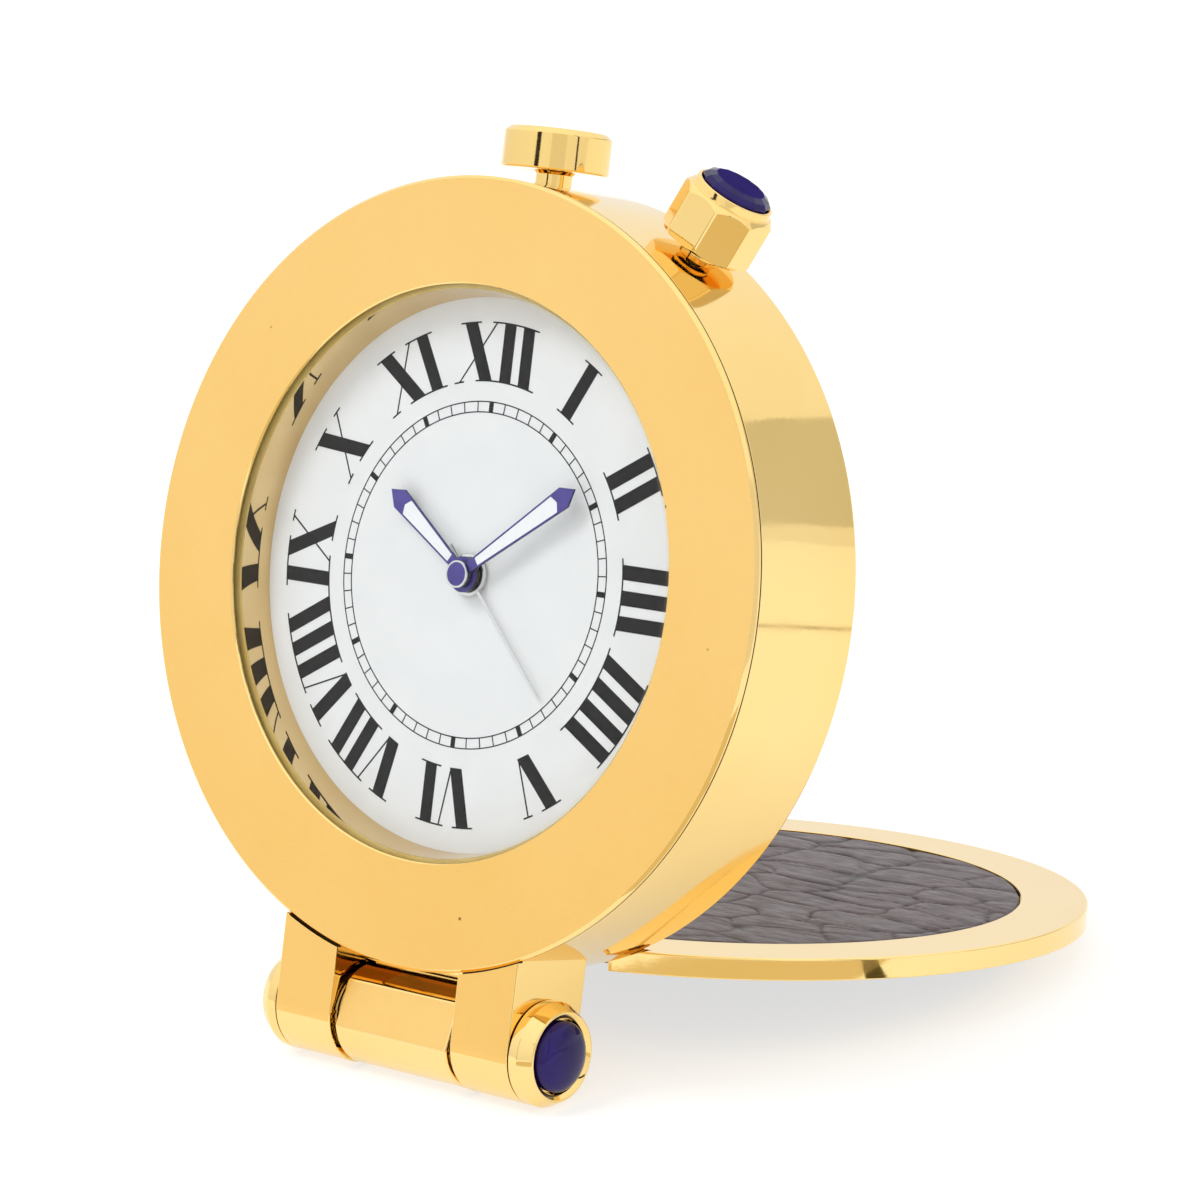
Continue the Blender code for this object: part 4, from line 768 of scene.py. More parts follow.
def make_bezel():
    """Satin ring with a bright chamfer, a thin flange over the drum and a lip over the glass."""
    chamfer = 0.25 * MM
    lip = 0.25 * MM
    seat = outer_radius("crystal_gasket", FACE) + 0.1 * MM
    profile = [
        (CASE_RADIUS, FLANGE_BACK, 0.03 * MM),
        (CASE_RADIUS, -chamfer, 0.04 * MM),
        (CASE_RADIUS - chamfer, 0.0, 0.05 * MM),
        (OPENING + EDGE, 0.0, 0.03 * MM),
        (OPENING, -EDGE, 0.03 * MM),
        (OPENING, -lip, 0.02 * MM),
        (seat, -lip),
        (seat, BEZEL_BACK),
        (BEZEL_STEP, BEZEL_BACK),
        (BEZEL_STEP, FLANGE_BACK),
    ]

    def paint(face):
        # Back faces of the flange, inside the seam, take the dark brown: painted shade.
        if face.normal.z < -BACKWARD:
            return 2
        return int(face.normal.z > LEVEL)

    materials = ["polished_gold", "satin_gold", "seam_painted_shade"]
    dress(lathe("bezel_ring", profile, FACE), "case", "satin_gold", ["front_bezel"], materials, paint)


def lug_outline():
    """Side view of a lug in the HINGE frame: straight down to a full-round end on the axis."""
    radius = -low_of("case_band", HINGE, 1)
    top = -HINGE_IN_FACE.y - LUG_ROOT
    return [(radius, top), (-radius, top), *arc_points(radius, -pi, 0.0, LUG_STEPS)]


def make_band():
    """Polished drum with its lugs, the pocket for the cover's knuckle and the holes for the works."""
    front = FLANGE_BACK - SEAM_SHOWN
    bore = outer_radius("back_gasket", FACE) - 0.65 * MM
    recess = outer_radius("case_back", FACE) + 0.12 * MM
    ledge = high_of("case_back", FACE) + 0.4 * MM
    profile = [
        (CASE_RADIUS, front, 0.04 * MM),
        (bore, front),
        (bore, ledge),
        (recess, ledge),
        (recess, CASE_BACK, 0.05 * MM),
        (CASE_RADIUS, CASE_BACK, 0.35 * MM),
    ]
    band = lathe("case_drum", profile, FACE)
    for side, low, high in (("right", LUG_INNER, LUG_OUTER), ("left", -LUG_OUTER, -LUG_INNER)):
        fuse(band, prism("lug_" + side, [lug_outline()], low, high, HINGE, 0.1 * MM))
    cut(band, rod("flange_room", CASE_RADIUS + SEAM_SHOWN, front, MM, FACE, LATHE_STEPS))
    cut(band, rod("bezel_room", BEZEL_STEP + SEAM_SHOWN, BEZEL_BACK - SEAM_SHOWN, MM, FACE, LATHE_STEPS))
    cut(band, rod("pocket", POCKET, -LUG_INNER, LUG_INNER, HINGE))
    slab_front, slab_top = -2.0 * MM, high_of("cover_lining", COVER) + 1.6 * MM
    cut(band, box("slab", (-LUG_INNER, slab_front, -POCKET), (LUG_INNER, -CASE_BACK, slab_top), COVER))
    cut(band, rod("pin_bore", PIN_BORE, -PIN_REACH, PIN_REACH, HINGE, HOLE_STEPS))
    inside_wall, hole_room = 20 * MM, 0.05 * MM
    for node, place in (("crown_tube", CROWN), ("button_tube", BUTTON)):
        cut(band, rod("hole", outer_radius(node, place) + hole_room, inside_wall, FAR, place))

    def paint(face):
        if face.normal.z > LEVEL:
            # The drum's front annulus behind the flange takes the dark brown: painted shade in the seam.
            return 2 if face.center.z > front + EDGE else 3
        # Faces round the knuckle pocket take the pocket look: painted glow and deeper orange for bounced light.
        inside = abs(face.center.x) < LUG_INNER - 0.01 * MM
        away = face.center - HINGE_IN_FACE
        return 1 if inside and hypot(away.y, away.z) < POCKET + 2.0 * MM else 0

    materials = ["polished_gold", "pocket_painted_bounce", "satin_gold", "seam_painted_shade"]
    dress(band, "case", "polished_gold", ["case_band"], materials, paint)


def make_screw(back, number):
    """Slotted screw in a sink of the case back."""
    node = f"case_screw_{number}"
    middle = local_points(node, FACE)[:, :2]
    centre = (middle.max(0) + middle.min(0)) / 2
    place = FACE @ Matrix.Translation((*centre, 0.0))
    head, low = extents(node, place)[1:3]
    floor = low + 0.55 * MM
    cut(back, rod("sink", head + 0.08 * MM, CASE_BACK - MM, floor + 0.1 * MM, place, HOLE_STEPS))
    outline = [(0.0, floor), (head, floor), (head, low, 0.12 * MM), (0.0, low)]
    screw = lathe(f"back_screw_{number}", outline, place, HOLE_STEPS)
    across, half, depth = head * 1.3, 0.11 * MM, 0.25 * MM
    turn = place @ Matrix.Rotation(radians(35.0 * number), 4, "Z")
    cut(screw, box("slot", (-across, -half, low - MM), (across, half, low + depth), turn))
    dress(screw, "case", "polished_gold", [node])


def make_case_back():
    """Turned back plate with a groove near its edge, and its four screws."""
    _, radius, _, front = extents("case_back", FACE)
    groove = 0.12 * MM
    profile = [
        (0.0, front),
        (radius, front),
        (radius, CASE_BACK, 0.12 * MM),
        (radius - 1.0 * MM, CASE_BACK, 0.06 * MM),
        (radius - 1.12 * MM, CASE_BACK + groove, 0.03 * MM),
        (radius - 1.28 * MM, CASE_BACK + groove, 0.03 * MM),
        (radius - 1.4 * MM, CASE_BACK, 0.06 * MM),
        (0.0, CASE_BACK),
    ]
    back = lathe("back_plate", profile, FACE)
    for number in range(1, 5):
        make_screw(back, number)
    dress(back, "case", "satin_gold", ["case_back"], ["turned_gold"])


def make_glazing():
    """Flat glass whose outer zone carries painted olive shade over the ledge beneath, and the gasket round it."""
    _, radius, bottom, top = extents("crystal", FACE)
    rim = mouth_radius("rehaut_ring") - 0.1 * MM
    profile = [
        (0.0, top),
        (rim, top),
        (radius - EDGE, top),
        (radius, top - EDGE),
        (radius, bottom),
        (rim, bottom),
        (0.0, bottom),
    ]

    def paint(face):
        # Faces outside the rim take the olive glass: painted shade over the ledge.
        return int(hypot(face.center.x, face.center.y) > rim)

    glass = lathe("glass", profile, FACE)
    dress(glass, "case", "crystal_glass", ["crystal"], ["crystal_glass", "crystal_rim_painted_shade"], paint)
    make_ring("glass_gasket", "crystal_gasket", FACE, "moulded_plastic", LATHE_STEPS)


def make_rehaut():
    """Mirror wall between the glass and the dial, slightly wider at its mouth."""
    foot, outer, _, top = extents("rehaut_ring", FACE)
    bottom = high_of("dial", FACE) + 0.02 * MM
    profile = [(foot, bottom), (mouth_radius("rehaut_ring"), top, 0.05 * MM), (outer, top), (outer, bottom)]
    wall = lathe("rehaut_wall", profile, FACE)
    dress(wall, "case", "polished_gold", ["rehaut_ring"], ["mirror_gold", "rim_gold"], facing(limit=0.9))


# ---------------------------------------------------------------- dial and its print
NUMERAL_FOOT = 16.2 * MM
NUMERAL_HEAD = 21.15 * MM
STROKE = 1.22 * MM
PITCH = 2.08 * MM
HAIRLINE = 0.13 * MM
SERIF_REACH = 0.5 * MM
V_SPREAD = 3.3 * MM
V_APEX = 0.62
X_SPREAD = 3.5 * MM
WIDTHS = {"I": STROKE, "V": V_SPREAD, "X": X_SPREAD}
PRINT_HEIGHT = 0.03 * MM
PRINT_SINK = 0.01 * MM
STROKE_STEP = 0.0004 * MM
TRACK_INNER = 13.62 * MM
TRACK_OUTER = 14.5 * MM
TRACK_LINE = 0.09 * MM
HOUR_LINE = 0.46 * MM
RIM_STEPS = 240
CELL_STEPS = 5
NUMERALS = ("XII", "I", "II", "III", "IIII", "V", "VI", "VII", "VIII", "IX", "X", "XI")


def stroke_shape(foot, head, width):
    """Stroke across the numeral ring, from x at its foot to x at its head, cut square to the ring."""
    lean = (head - foot) / (NUMERAL_HEAD - NUMERAL_FOOT)
    half = width / 2 * sqrt(1 + lean * lean)
    corners = (
        (foot - half, NUMERAL_FOOT),
        (foot + half, NUMERAL_FOOT),
        (head + half, NUMERAL_HEAD),
        (head - half, NUMERAL_HEAD),
    )
    return [(x, sqrt(radius * radius - x * x)) for x, radius in corners]


def serif_shape(start, end, radius):
    """Hairline along the ring between two x positions, with a serif's reach past each."""
    first, last = asin((start - SERIF_REACH) / radius), asin((end + SERIF_REACH) / radius)
    count = max(3, ceil((last - first) / radians(2.0)) + 1)
    turns = [first + (last - first) * i / (count - 1) for i in range(count)]
    inner, outer = radius - HAIRLINE / 2, radius + HAIRLINE / 2
    there = [(inner * sin(a), inner * cos(a)) for a in turns]
    return there + [(outer * sin(a), outer * cos(a)) for a in reversed(turns)]


def letter_shapes(letter, left):
    """Strokes and serifs of one letter that starts at an x position."""
    half = STROKE / 2
    overlap = HAIRLINE / 4
    foot, head = NUMERAL_FOOT + overlap, NUMERAL_HEAD - overlap
    right = left + WIDTHS[letter]
    if letter == "I":
        upright = stroke_shape(left + half, left + half, STROKE)
        return [upright, serif_shape(left, right, foot), serif_shape(left, right, head)]
    if letter == "V":
        apex = left + V_SPREAD * V_APEX
        return [
            stroke_shape(apex, left + half, STROKE),
            stroke_shape(apex + half * 0.8, right, HAIRLINE),
            serif_shape(left, left + STROKE, head),
            serif_shape(right, right, head),
        ]
    return [
        stroke_shape(right - half, left + half, STROKE),
        stroke_shape(left, right, HAIRLINE),
        serif_shape(left, left + STROKE, head),
        serif_shape(right, right, head),
        serif_shape(right - STROKE, right, foot),
        serif_shape(left, left, foot),
    ]


def numeral_shapes(text):
    """All shapes of a numeral, centred on twelve o'clock."""
    gap = PITCH - STROKE
    left = -(sum(WIDTHS[letter] for letter in text) + gap * (len(text) - 1)) / 2
    shapes = []
    for letter in text:
        shapes += letter_shapes(letter, left)
        left += WIDTHS[letter] + gap
    return shapes


def make_numerals():
    surface = high_of("dial", FACE)
    for hour, text in enumerate(NUMERALS):
        place = FACE @ Matrix.Rotation(-hour * pi / 6, 4, "Z")
        solids = []
        for i, outline in enumerate(numeral_shapes(text)):
            top = surface + PRINT_HEIGHT + i * STROKE_STEP
            solids.append(prism(f"stroke_{i}", [outline], surface - PRINT_SINK, top, place))
        dress(merged(f"numeral_{hour or 12}", solids), "case", "dial_white", (), ["print_ink"], smooth=False)


def make_track():
    """Railway minute track: two hairline circles with sixty divisions, bold at the hours."""
    surface = high_of("dial", FACE)
    low, high = TRACK_INNER + TRACK_LINE / 2, TRACK_OUTER - TRACK_LINE / 2
    rims = (TRACK_OUTER + TRACK_LINE / 2, TRACK_INNER - TRACK_LINE / 2)
    loops = [circle_points(radius, RIM_STEPS) for radius in rims]
    for minute in range(60):
        first, second = [(TRACK_LINE if m % 5 else HOUR_LINE) / 2 for m in (minute, minute + 1)]
        start, end = minute * pi / 30, (minute + 1) * pi / 30
        inner = arc_points(low, start + first / low, end - second / low, CELL_STEPS)
        outer = arc_points(high, end - second / high, start + first / high, CELL_STEPS)
        loops.append(inner + outer)
    track = prism("minute_track", loops, surface - PRINT_SINK, surface + PRINT_HEIGHT, FACE)
    dress(track, "case", "dial_white", (), ["print_ink"], smooth=False)


# ---------------------------------------------------------------- hands
def hand_frame(node):
    """FACE frame turned so that y runs along a CAD hand to its farthest vertex."""
    reach, direction = farthest(node, FACE)
    return FACE @ Matrix.Rotation(direction - pi / 2, 4, "Z"), reach


def hand_loops(reach, tip, wall):
    """Outline of a spade-ended baton and its window."""
    neck, belly = 0.42 * MM, 0.95 * MM
    start, shoulder = 0.2 * MM, reach - tip
    low, high, point = 2.1 * MM, shoulder - 1.15 * MM, 0.35 * MM
    outline = [(-neck, start), (neck, start), (belly, shoulder), (0.0, reach), (-belly, shoulder)]
    narrow, wide = [neck + (belly - neck) * (y - start) / (shoulder - start) - wall for y in (low, high)]
    window = [(-narrow, low), (narrow, low), (wide, high), (0.0, high + point), (-wide, high)]
    return outline, window


def make_hand(node, body, tip, hub_rounding):
    """Lacquered frame with a hub, and its luminous filling."""
    place, reach = hand_frame(node)
    points = local_points(node, place)
    bottom, top = low_of(node, FACE), high_of(node, FACE)
    blade = points[points[:, 1] > reach / 2][:, 2]
    blade_low, blade_high = float(blade.min()), float(blade.max())
    outline, window = hand_loops(reach, tip, 0.16 * MM)
    edge = 0.03 * MM
    bar = prism(node + "_bar", [outline, window], blade_low, blade_high, place, edge)
    hub_radius = float(radii_of(points)[points[:, 1] < 0.0].max())
    profile = [(0.0, top), (hub_radius, top, hub_rounding), (hub_radius, bottom), (0.0, bottom)]
    hand = fuse(bar, lathe(node + "_hub", profile, place, HUB_STEPS))
    hand.name = node + "_blade"
    lacquer_and_side_shade = ["blue_steel", "hand_edge_shade"]
    # Faces that do not face the front take the darker copy: painted shade on the sides.
    dress(hand, body, "blue_steel", [node], lacquer_and_side_shade, facing(limit=0.7, then=0, otherwise=1))
    filling = prism(node + "_lume", [window], blade_low + edge, blade_high - edge, place)
    dress(filling, body, "blue_steel", (), ["luminous_white"], smooth=False)
    return hub_radius, top


def make_hands():
    """Hour and minute hands, and the bright rim of the cap on the minute hand."""
    make_hand("hour_hand", "hour_work", 1.25 * MM, 0.05 * MM)
    outer, top = make_hand("minute_hand", "minute_work", 1.35 * MM, 0.08 * MM)
    inner, foot, crest = outer * 0.86, top - 0.1 * MM, top + 0.05 * MM
    rim = [(inner, foot), (inner, crest, 0.02 * MM), (outer, crest, 0.04 * MM), (outer, foot)]
    dress(lathe("hand_cap_rim", rim, FACE, HUB_STEPS), "minute_work", "silver")


def make_alarm_hand():
    """Thin needle with a tail, on its own hub."""
    place, reach = hand_frame("alarm_hand")
    bottom, top = low_of("alarm_hand", FACE), high_of("alarm_hand", FACE)
    tail, tail_half, tip_half = -3.2 * MM, 0.17 * MM, 0.09 * MM
    needle = [(-tail_half, tail), (tail_half, tail), (tip_half, reach), (-tip_half, reach)]
    blade_low = bottom + 0.1 * MM
    blade = prism("alarm_needle", [needle], blade_low, blade_low + 0.18 * MM, place, 0.02 * MM)
    bore, hub_radius = 1.35 * MM, 1.8 * MM
    hub = [(bore, bottom), (bore, top, 0.03 * MM), (hub_radius, top, 0.08 * MM), (hub_radius, bottom)]
    hand = fuse(lathe("alarm_hub", hub, place, HUB_STEPS), blade)
    cut(hand, rod("bore", bore, bottom - MM, top + MM, place, HUB_STEPS))
    hand.name = "alarm_pointer"
    dress(hand, "alarm_work", "silver", ["alarm_hand"])


# ---------------------------------------------------------------- crown and alarm button
def make_crown():
    """Octagonal nut-like crown with rounded shoulders."""
    _, _, seat, top = extents("crown", CROWN)
    corner, start = farthest("crown", CROWN)
    _, stone, base, _ = extents("crown_cabochon", CROWN)
    shoulder = top - 0.7 * MM
    skirt = corner + 0.02 * MM
    body = [
        (0.0, seat),
        (corner - 0.3 * MM, seat, 0.05 * MM),
        (skirt, seat + 0.25 * MM, 0.1 * MM),
        (skirt, shoulder - 0.62 * MM, 0.5 * MM),
        (stone + 0.52 * MM, shoulder, 0.14 * MM),
        (stone + 0.42 * MM, shoulder - 0.02 * MM, 0.02 * MM),
        (stone + 0.38 * MM, shoulder + 0.12 * MM, 0.06 * MM),
        (stone + 0.28 * MM, top, 0.12 * MM),
        (stone + 0.05 * MM, top, 0.05 * MM),
        (stone + 0.03 * MM, base - 0.03 * MM),
        (0.0, base - 0.03 * MM),
    ]
    crown = lathe("crown_nut", body, CROWN)
    octagon = prism("octagon", [circle_points(corner, 8, start)], seat - MM, top + MM, CROWN)
    rounding = octagon.modifiers.new("soft_corners", "BEVEL")
    rounding.width = 0.22 * MM
    rounding.segments = 4
    rounding.limit_method = "ANGLE"
    combine(crown, octagon, "INTERSECT")
    stem, depth = 0.72 * MM, 2.4 * MM
    cut(crown, rod("stem_room", stem, seat - MM, seat + depth, CROWN, HOLE_STEPS))
    dress(crown, "crown_work", "polished_gold", ["crown"])


def make_crown_stone():
    """Faceted stone whose table is painted paler, a painted highlight, and the polished collar under the crown."""
    _, radius, base, table = extents("crown_cabochon", CROWN)
    girdle = table - 0.6 * MM
    rows = [(0.0, base), (radius - 0.03 * MM, base), (radius, girdle)]
    rows += [(radius * 0.9, girdle + 0.34 * MM), (radius * 0.72, table), (0.0, table)]
    shape = bmesh.new()
    facets = 14
    spin_profile(shape, rows, facets)
    stone = mesh_object("crown_stone", shape, CROWN)
    looks = ["cabochon_blue", "cabochon_table_lit"]
    # The table, turned up, takes the paler copy of the stone: painted highlight.
    table_highlight = facing(limit=0.95)
    dress(stone, "crown_work", "cabochon_blue", ["crown_cabochon"], looks, table_highlight, smooth=False)
    make_ring("crown_neck", "crown_tube", CROWN, "polished_gold", mouth=0.03 * MM, brim=0.1 * MM)


def make_button():
    """Mushroom button with a grooved stem, and the tube it slides in."""
    _, radius, bottom, top = extents("alarm_button", BUTTON)
    seat = top - 3.5 * MM
    stem = 1.55 * MM
    groove, groove_low, groove_high = 1.1 * MM, 25.85 * MM, 26.35 * MM
    profile = [
        (0.0, top),
        (radius - 0.5 * MM, top, 0.3 * MM),
        (radius, top - 0.42 * MM, 0.3 * MM),
        (radius, seat + EDGE, 0.06 * MM),
        (radius - EDGE, seat, 0.06 * MM),
        (stem + 0.25 * MM, seat, 0.05 * MM),
        (stem, seat - 0.25 * MM, 0.1 * MM),
        (stem, groove_high),
        (groove, groove_high),
        (groove, groove_low),
        (stem, groove_low),
        (stem, bottom),
        (0.0, bottom),
    ]
    button = lathe("push_button", profile, BUTTON, KNOB_STEPS)
    dress(button, "button", "polished_gold", ["alarm_button"])
    make_ring("button_guide", "button_tube", BUTTON, "polished_gold", mouth=0.05 * MM, brim=0.05 * MM)


# ---------------------------------------------------------------- hinge
def make_hinge_cap(side, place):
    """Turned cap with a spigot into the lug and a cup for its stone."""
    node = "hinge_cap_" + side
    _, radius, end, reach = extents(node, place)
    spigot = 1.5 * MM
    face = reach - 2.1 * MM
    cup = face + 1.02 * MM
    profile = [
        (0.0, end),
        (spigot, end),
        (spigot, face),
        (radius, face, 0.08 * MM),
        (radius, face + 0.9 * MM, 0.25 * MM),
        (3.78 * MM, reach - 0.06 * MM, 0.12 * MM),
        (3.6 * MM, reach, 0.08 * MM),
        (3.2 * MM, reach - 0.3 * MM, 0.05 * MM),
        (3.08 * MM, cup),
        (0.0, cup),
    ]
    dress(lathe("hinge_end_" + side, profile, place, KNOB_STEPS), "case", "polished_gold", [node])


def make_hinge_stone(side, place):
    """Domed stone in a hinge cap."""
    node = "hinge_cabochon_" + side
    _, radius, base, crest = extents(node, place)
    girdle = high_of("hinge_cap_" + side, place) - 0.28 * MM
    steps = 14
    slopes = [i * pi / 2 / steps for i in range(1, steps + 1)]
    dome = [(radius * sin(a), girdle + (crest - girdle) * cos(a)) for a in slopes]
    profile = [(0.0, crest), *dome, (radius - 0.05 * MM, base), (0.0, base)]
    dress(lathe("hinge_stone_" + side, profile, place, SMALL_STEPS), "case", "cabochon_blue", [node])


def make_hinge_ends():
    """Cap and stone on each end of the hinge, and a washer beside the knuckle."""
    ease = 0.04 * MM
    for side, place in (("right", HINGE), ("left", HINGE_LEFT)):
        make_hinge_cap(side, place)
        make_hinge_stone(side, place)
        washer = "friction_washer_" + side
        make_ring("hinge_washer_" + side, washer, place, "spring_steel", brim=ease, foot=ease)


# ---------------------------------------------------------------- cover
KNUCKLE_HALF = low_of("friction_washer_right", HINGE) - 0.15 * MM
KNUCKLE_RADIUS = -low_of("cover_plate", COVER)
KNUCKLE_STEPS = 97
KNUCKLE_FLAT = radians(159.5)
KNUCKLE_FLAT_HALF = radians(27.1)
KNUCKLE_FLAT_AREA = 2 * MM * MM
COVER_ROOM = 0.3 * MM
LATTICE = 128


def make_cover_plate():
    """Round plate, its knuckle on a short tongue, and the recess for the leather."""
    radius, top = high_of("cover_plate", COVER, 0), high_of("cover_plate", COVER)
    floor = high_of("cover_lining", COVER) + 0.05 * MM
    recess_radius = outer_radius("leather_panel", COVER_DISC) + 0.08 * MM
    recess_floor = low_of("leather_panel", COVER) - 0.05 * MM
    profile = [
        (0.0, recess_floor),
        (recess_radius, recess_floor),
        (recess_radius, top, 0.06 * MM),
        (radius, top, 0.2 * MM),
        (radius, floor, 0.12 * MM),
        (0.0, floor),
    ]
    plate = lathe("cover_disc", profile, COVER_DISC)
    notch_back, notch_half = 10.1 * MM, LUG_OUTER + COVER_ROOM
    cut(plate, box("notch", (-notch_half, -FAR, -FAR), (notch_half, notch_back, FAR), COVER))
    cut(plate, rod("drum_room", CASE_RADIUS + COVER_ROOM, CASE_BACK - COVER_ROOM, MM, FACE, LATHE_STEPS))
    tongue = [
        (0.6 * MM, 2.0 * MM),
        (4.6 * MM, 2.0 * MM),
        (4.6 * MM, 5.05 * MM),
        (notch_back + 2.5 * MM, 5.05 * MM),
        (notch_back + 2.5 * MM, 7.0 * MM),
        (2.2 * MM, 7.0 * MM),
        (0.6 * MM, 5.4 * MM),
    ]
    side_view = frame_of(ALONG, OUTWARD, HINGE_POINT)
    fuse(plate, prism("tongue", [tongue], -KNUCKLE_HALF, KNUCKLE_HALF, side_view))
    start, end = KNUCKLE_FLAT + KNUCKLE_FLAT_HALF, KNUCKLE_FLAT - KNUCKLE_FLAT_HALF + 2 * pi
    barrel = arc_points(KNUCKLE_RADIUS, start, end, KNUCKLE_STEPS)
    fuse(plate, prism("barrel", [barrel], -KNUCKLE_HALF, KNUCKLE_HALF, side_view, 0.25 * MM))
    cut(plate, rod("pin_bore", PIN_BORE, -PIN_REACH, PIN_REACH, HINGE, HOLE_STEPS))
    flat_normal = (ALONG * cos(KNUCKLE_FLAT) + OUTWARD * sin(KNUCKLE_FLAT)).normalized()
    flat_local = COVER_DISC.to_3x3().inverted() @ flat_normal
    parallel = 0.995

    def paint(face):
        return int(face.normal.dot(flat_local) > parallel and face.area > KNUCKLE_FLAT_AREA)

    dress(plate, "cover", "polished_gold", ["cover_plate"], ["polished_gold", "satin_gold"], paint)


def smooth_noise(points, cell, seed):
    """Value noise from 0 to 1 over plan points, with cells of a given width and height."""
    lattice = np.random.default_rng(seed).random((LATTICE, LATTICE))
    place = points / np.array(cell) + LATTICE / 2
    corner = np.floor(place).astype(int)
    share = place - corner
    share = share * share * (3.0 - 2.0 * share)
    i, j = corner[:, 0] % (LATTICE - 1), corner[:, 1] % (LATTICE - 1)
    near = lattice[i, j] * (1 - share[:, 0]) + lattice[i + 1, j] * share[:, 0]
    far = lattice[i, j + 1] * (1 - share[:, 0]) + lattice[i + 1, j + 1] * share[:, 0]
    return near * (1 - share[:, 1]) + far * share[:, 1]


def crease(points, cell, seed, sharpness):
    """Thin winding lines: 1 on a line and 0 away from it."""
    return np.exp(-np.abs(smooth_noise(points, cell, seed) - 0.5) * sharpness)


def scale_gap(points):
    """Distance to the nearest border between scales, for staggered rows of uneven scales."""
    source = np.random.default_rng(11)
    length, pitch = 9.0 * MM, 5.2 * MM
    seeds = []
    for row in range(-7, 8):
        shift = source.uniform(-0.5, 0.5) * length
        for column in range(-5, 6):
            wander = source.uniform(-0.25, 0.25, 2)
            seeds.append((column * length + shift + wander[0] * length, (row + wander[1]) * pitch))
    stretch = np.array([1.0, 1.5])
    bend = np.stack([smooth_noise(points, (5 * MM, 4 * MM), seed) - 0.5 for seed in (3, 4)], axis=1)
    warped = (points + 2.6 * MM * bend) * stretch
    distance = np.sqrt(((warped[:, None, :] - (np.array(seeds) * stretch)[None, :, :]) ** 2).sum(2))
    nearest = np.partition(distance, 1, axis=1)
    return nearest[:, 1] - nearest[:, 0]


def crocodile_relief(points):
    """Height share from 0 in a deep crease to 1 on a scale, and how close a scale border is."""
    border = np.exp(-scale_gap(points) / (0.7 * MM))
    warp = np.stack([np.zeros(len(points)), smooth_noise(points, (6 * MM, 3 * MM), 8) * 3.0 * MM], axis=1)
    bent = points + warp
    long_lines = crease(bent, (9.0 * MM, 2.4 * MM), 21, 14.0)
    fine_lines = crease(bent, (4.5 * MM, 1.3 * MM), 22, 10.0)
    swell = smooth_noise(bent, (5.0 * MM, 2.2 * MM), 23)
    height = 0.78 + 0.22 * swell - 0.60 * border - 0.42 * long_lines - 0.10 * fine_lines
    return np.clip(height, 0.0, 1.0), border


def make_leather():
    """Crocodile panel: a closed pad whose top carries the scales and rolls over at its rim."""
    radius = outer_radius("leather_panel", COVER_DISC)
    top, bottom = high_of("leather_panel", COVER), low_of("leather_panel", COVER)
    rings, spokes = 130, 440
    depth, roll, roll_drop = 0.32 * MM, 0.5 * MM, 0.3 * MM
    plan = [(0.0, 0.0)]
    for ring in range(1, rings + 1):
        plan += circle_points(radius * ring / rings, spokes)
    plan = np.array(plan)
    relief = crocodile_relief(plan)[0]
    edge = np.clip((radius - radii_of(plan)) / roll, 0.0, 1.0)
    height = top - depth * (1.0 - relief) - roll_drop * (1.0 - np.sqrt(1.0 - (1.0 - edge) ** 2))
    shape = bmesh.new()
    upper = [shape.verts.new((x, y, z)) for (x, y), z in zip(plan, height)]
    lower_centre = shape.verts.new((0.0, 0.0, bottom))
    lower = [shape.verts.new((x, y, bottom)) for x, y in plan[-spokes:]]
    for spoke in range(spokes):
        following = (spoke + 1) % spokes
        shape.faces.new((upper[0], upper[1 + spoke], upper[1 + following]))
        for ring in range(1, rings):
            first = 1 + (ring - 1) * spokes
            second = first + spokes
            corners = (first + spoke, second + spoke, second + following, first + following)
            shape.faces.new([upper[i] for i in corners])
        rim = 1 + (rings - 1) * spokes
        shape.faces.new((upper[rim + spoke], lower[spoke], lower[following], upper[rim + following]))
        shape.faces.new((lower[spoke], lower_centre, lower[following]))
    leather = mesh_object("crocodile_panel", shape, COVER_DISC)
    coordinates = np.zeros(len(leather.data.vertices) * 3)
    leather.data.vertices.foreach_get("co", coordinates)
    for name, values in zip(("relief", "border"), crocodile_relief(coordinates.reshape(-1, 3)[:, :2])):
        attribute = leather.data.attributes.new(name, "FLOAT", "POINT")
        attribute.data.foreach_set("value", values.astype(np.float32))
    dress(leather, "cover", "leather_brown", ["leather_panel"])


def make_lining():
    """Suede lining with a turned-over rim, cut straight beside the hinge."""
    radius = outer_radius("cover_lining", COVER_DISC)
    top, bottom = high_of("cover_lining", COVER), low_of("cover_lining", COVER)
    roll = 0.2 * MM
    profile = [
        (0.0, top),
        (radius, top),
        (radius, bottom, roll),
        (radius - 1.3 * MM, bottom, roll),
        (radius - 1.5 * MM, bottom + 0.1 * MM, 0.05 * MM),
        (radius - 1.7 * MM, bottom, roll),
        (0.0, bottom),
    ]
    lining = lathe("suede_lining", profile, COVER_DISC)
    near = low_of("cover_lining", COVER, 1)
    cut(lining, box("near_edge", (-FAR, -FAR, -FAR), (FAR, near, FAR), COVER))
    dress(lining, "cover", "suede_black", ["cover_lining"])


# ---------------------------------------------------------------- studio
CLOCK_CENTRE = (cad_low + cad_high) / 2
FLOOR_HALF = 3.0
FLOOR_DROP = 0.05 * MM
CARD_LIFT = 0.5 * MM


def bearing(azimuth, elevation):
    """Direction away from the clock, in degrees; azimuth 0 is its front."""
    a, e = radians(azimuth), radians(elevation)
    return Vector((sin(a) * cos(e), -cos(a) * cos(e), sin(e)))


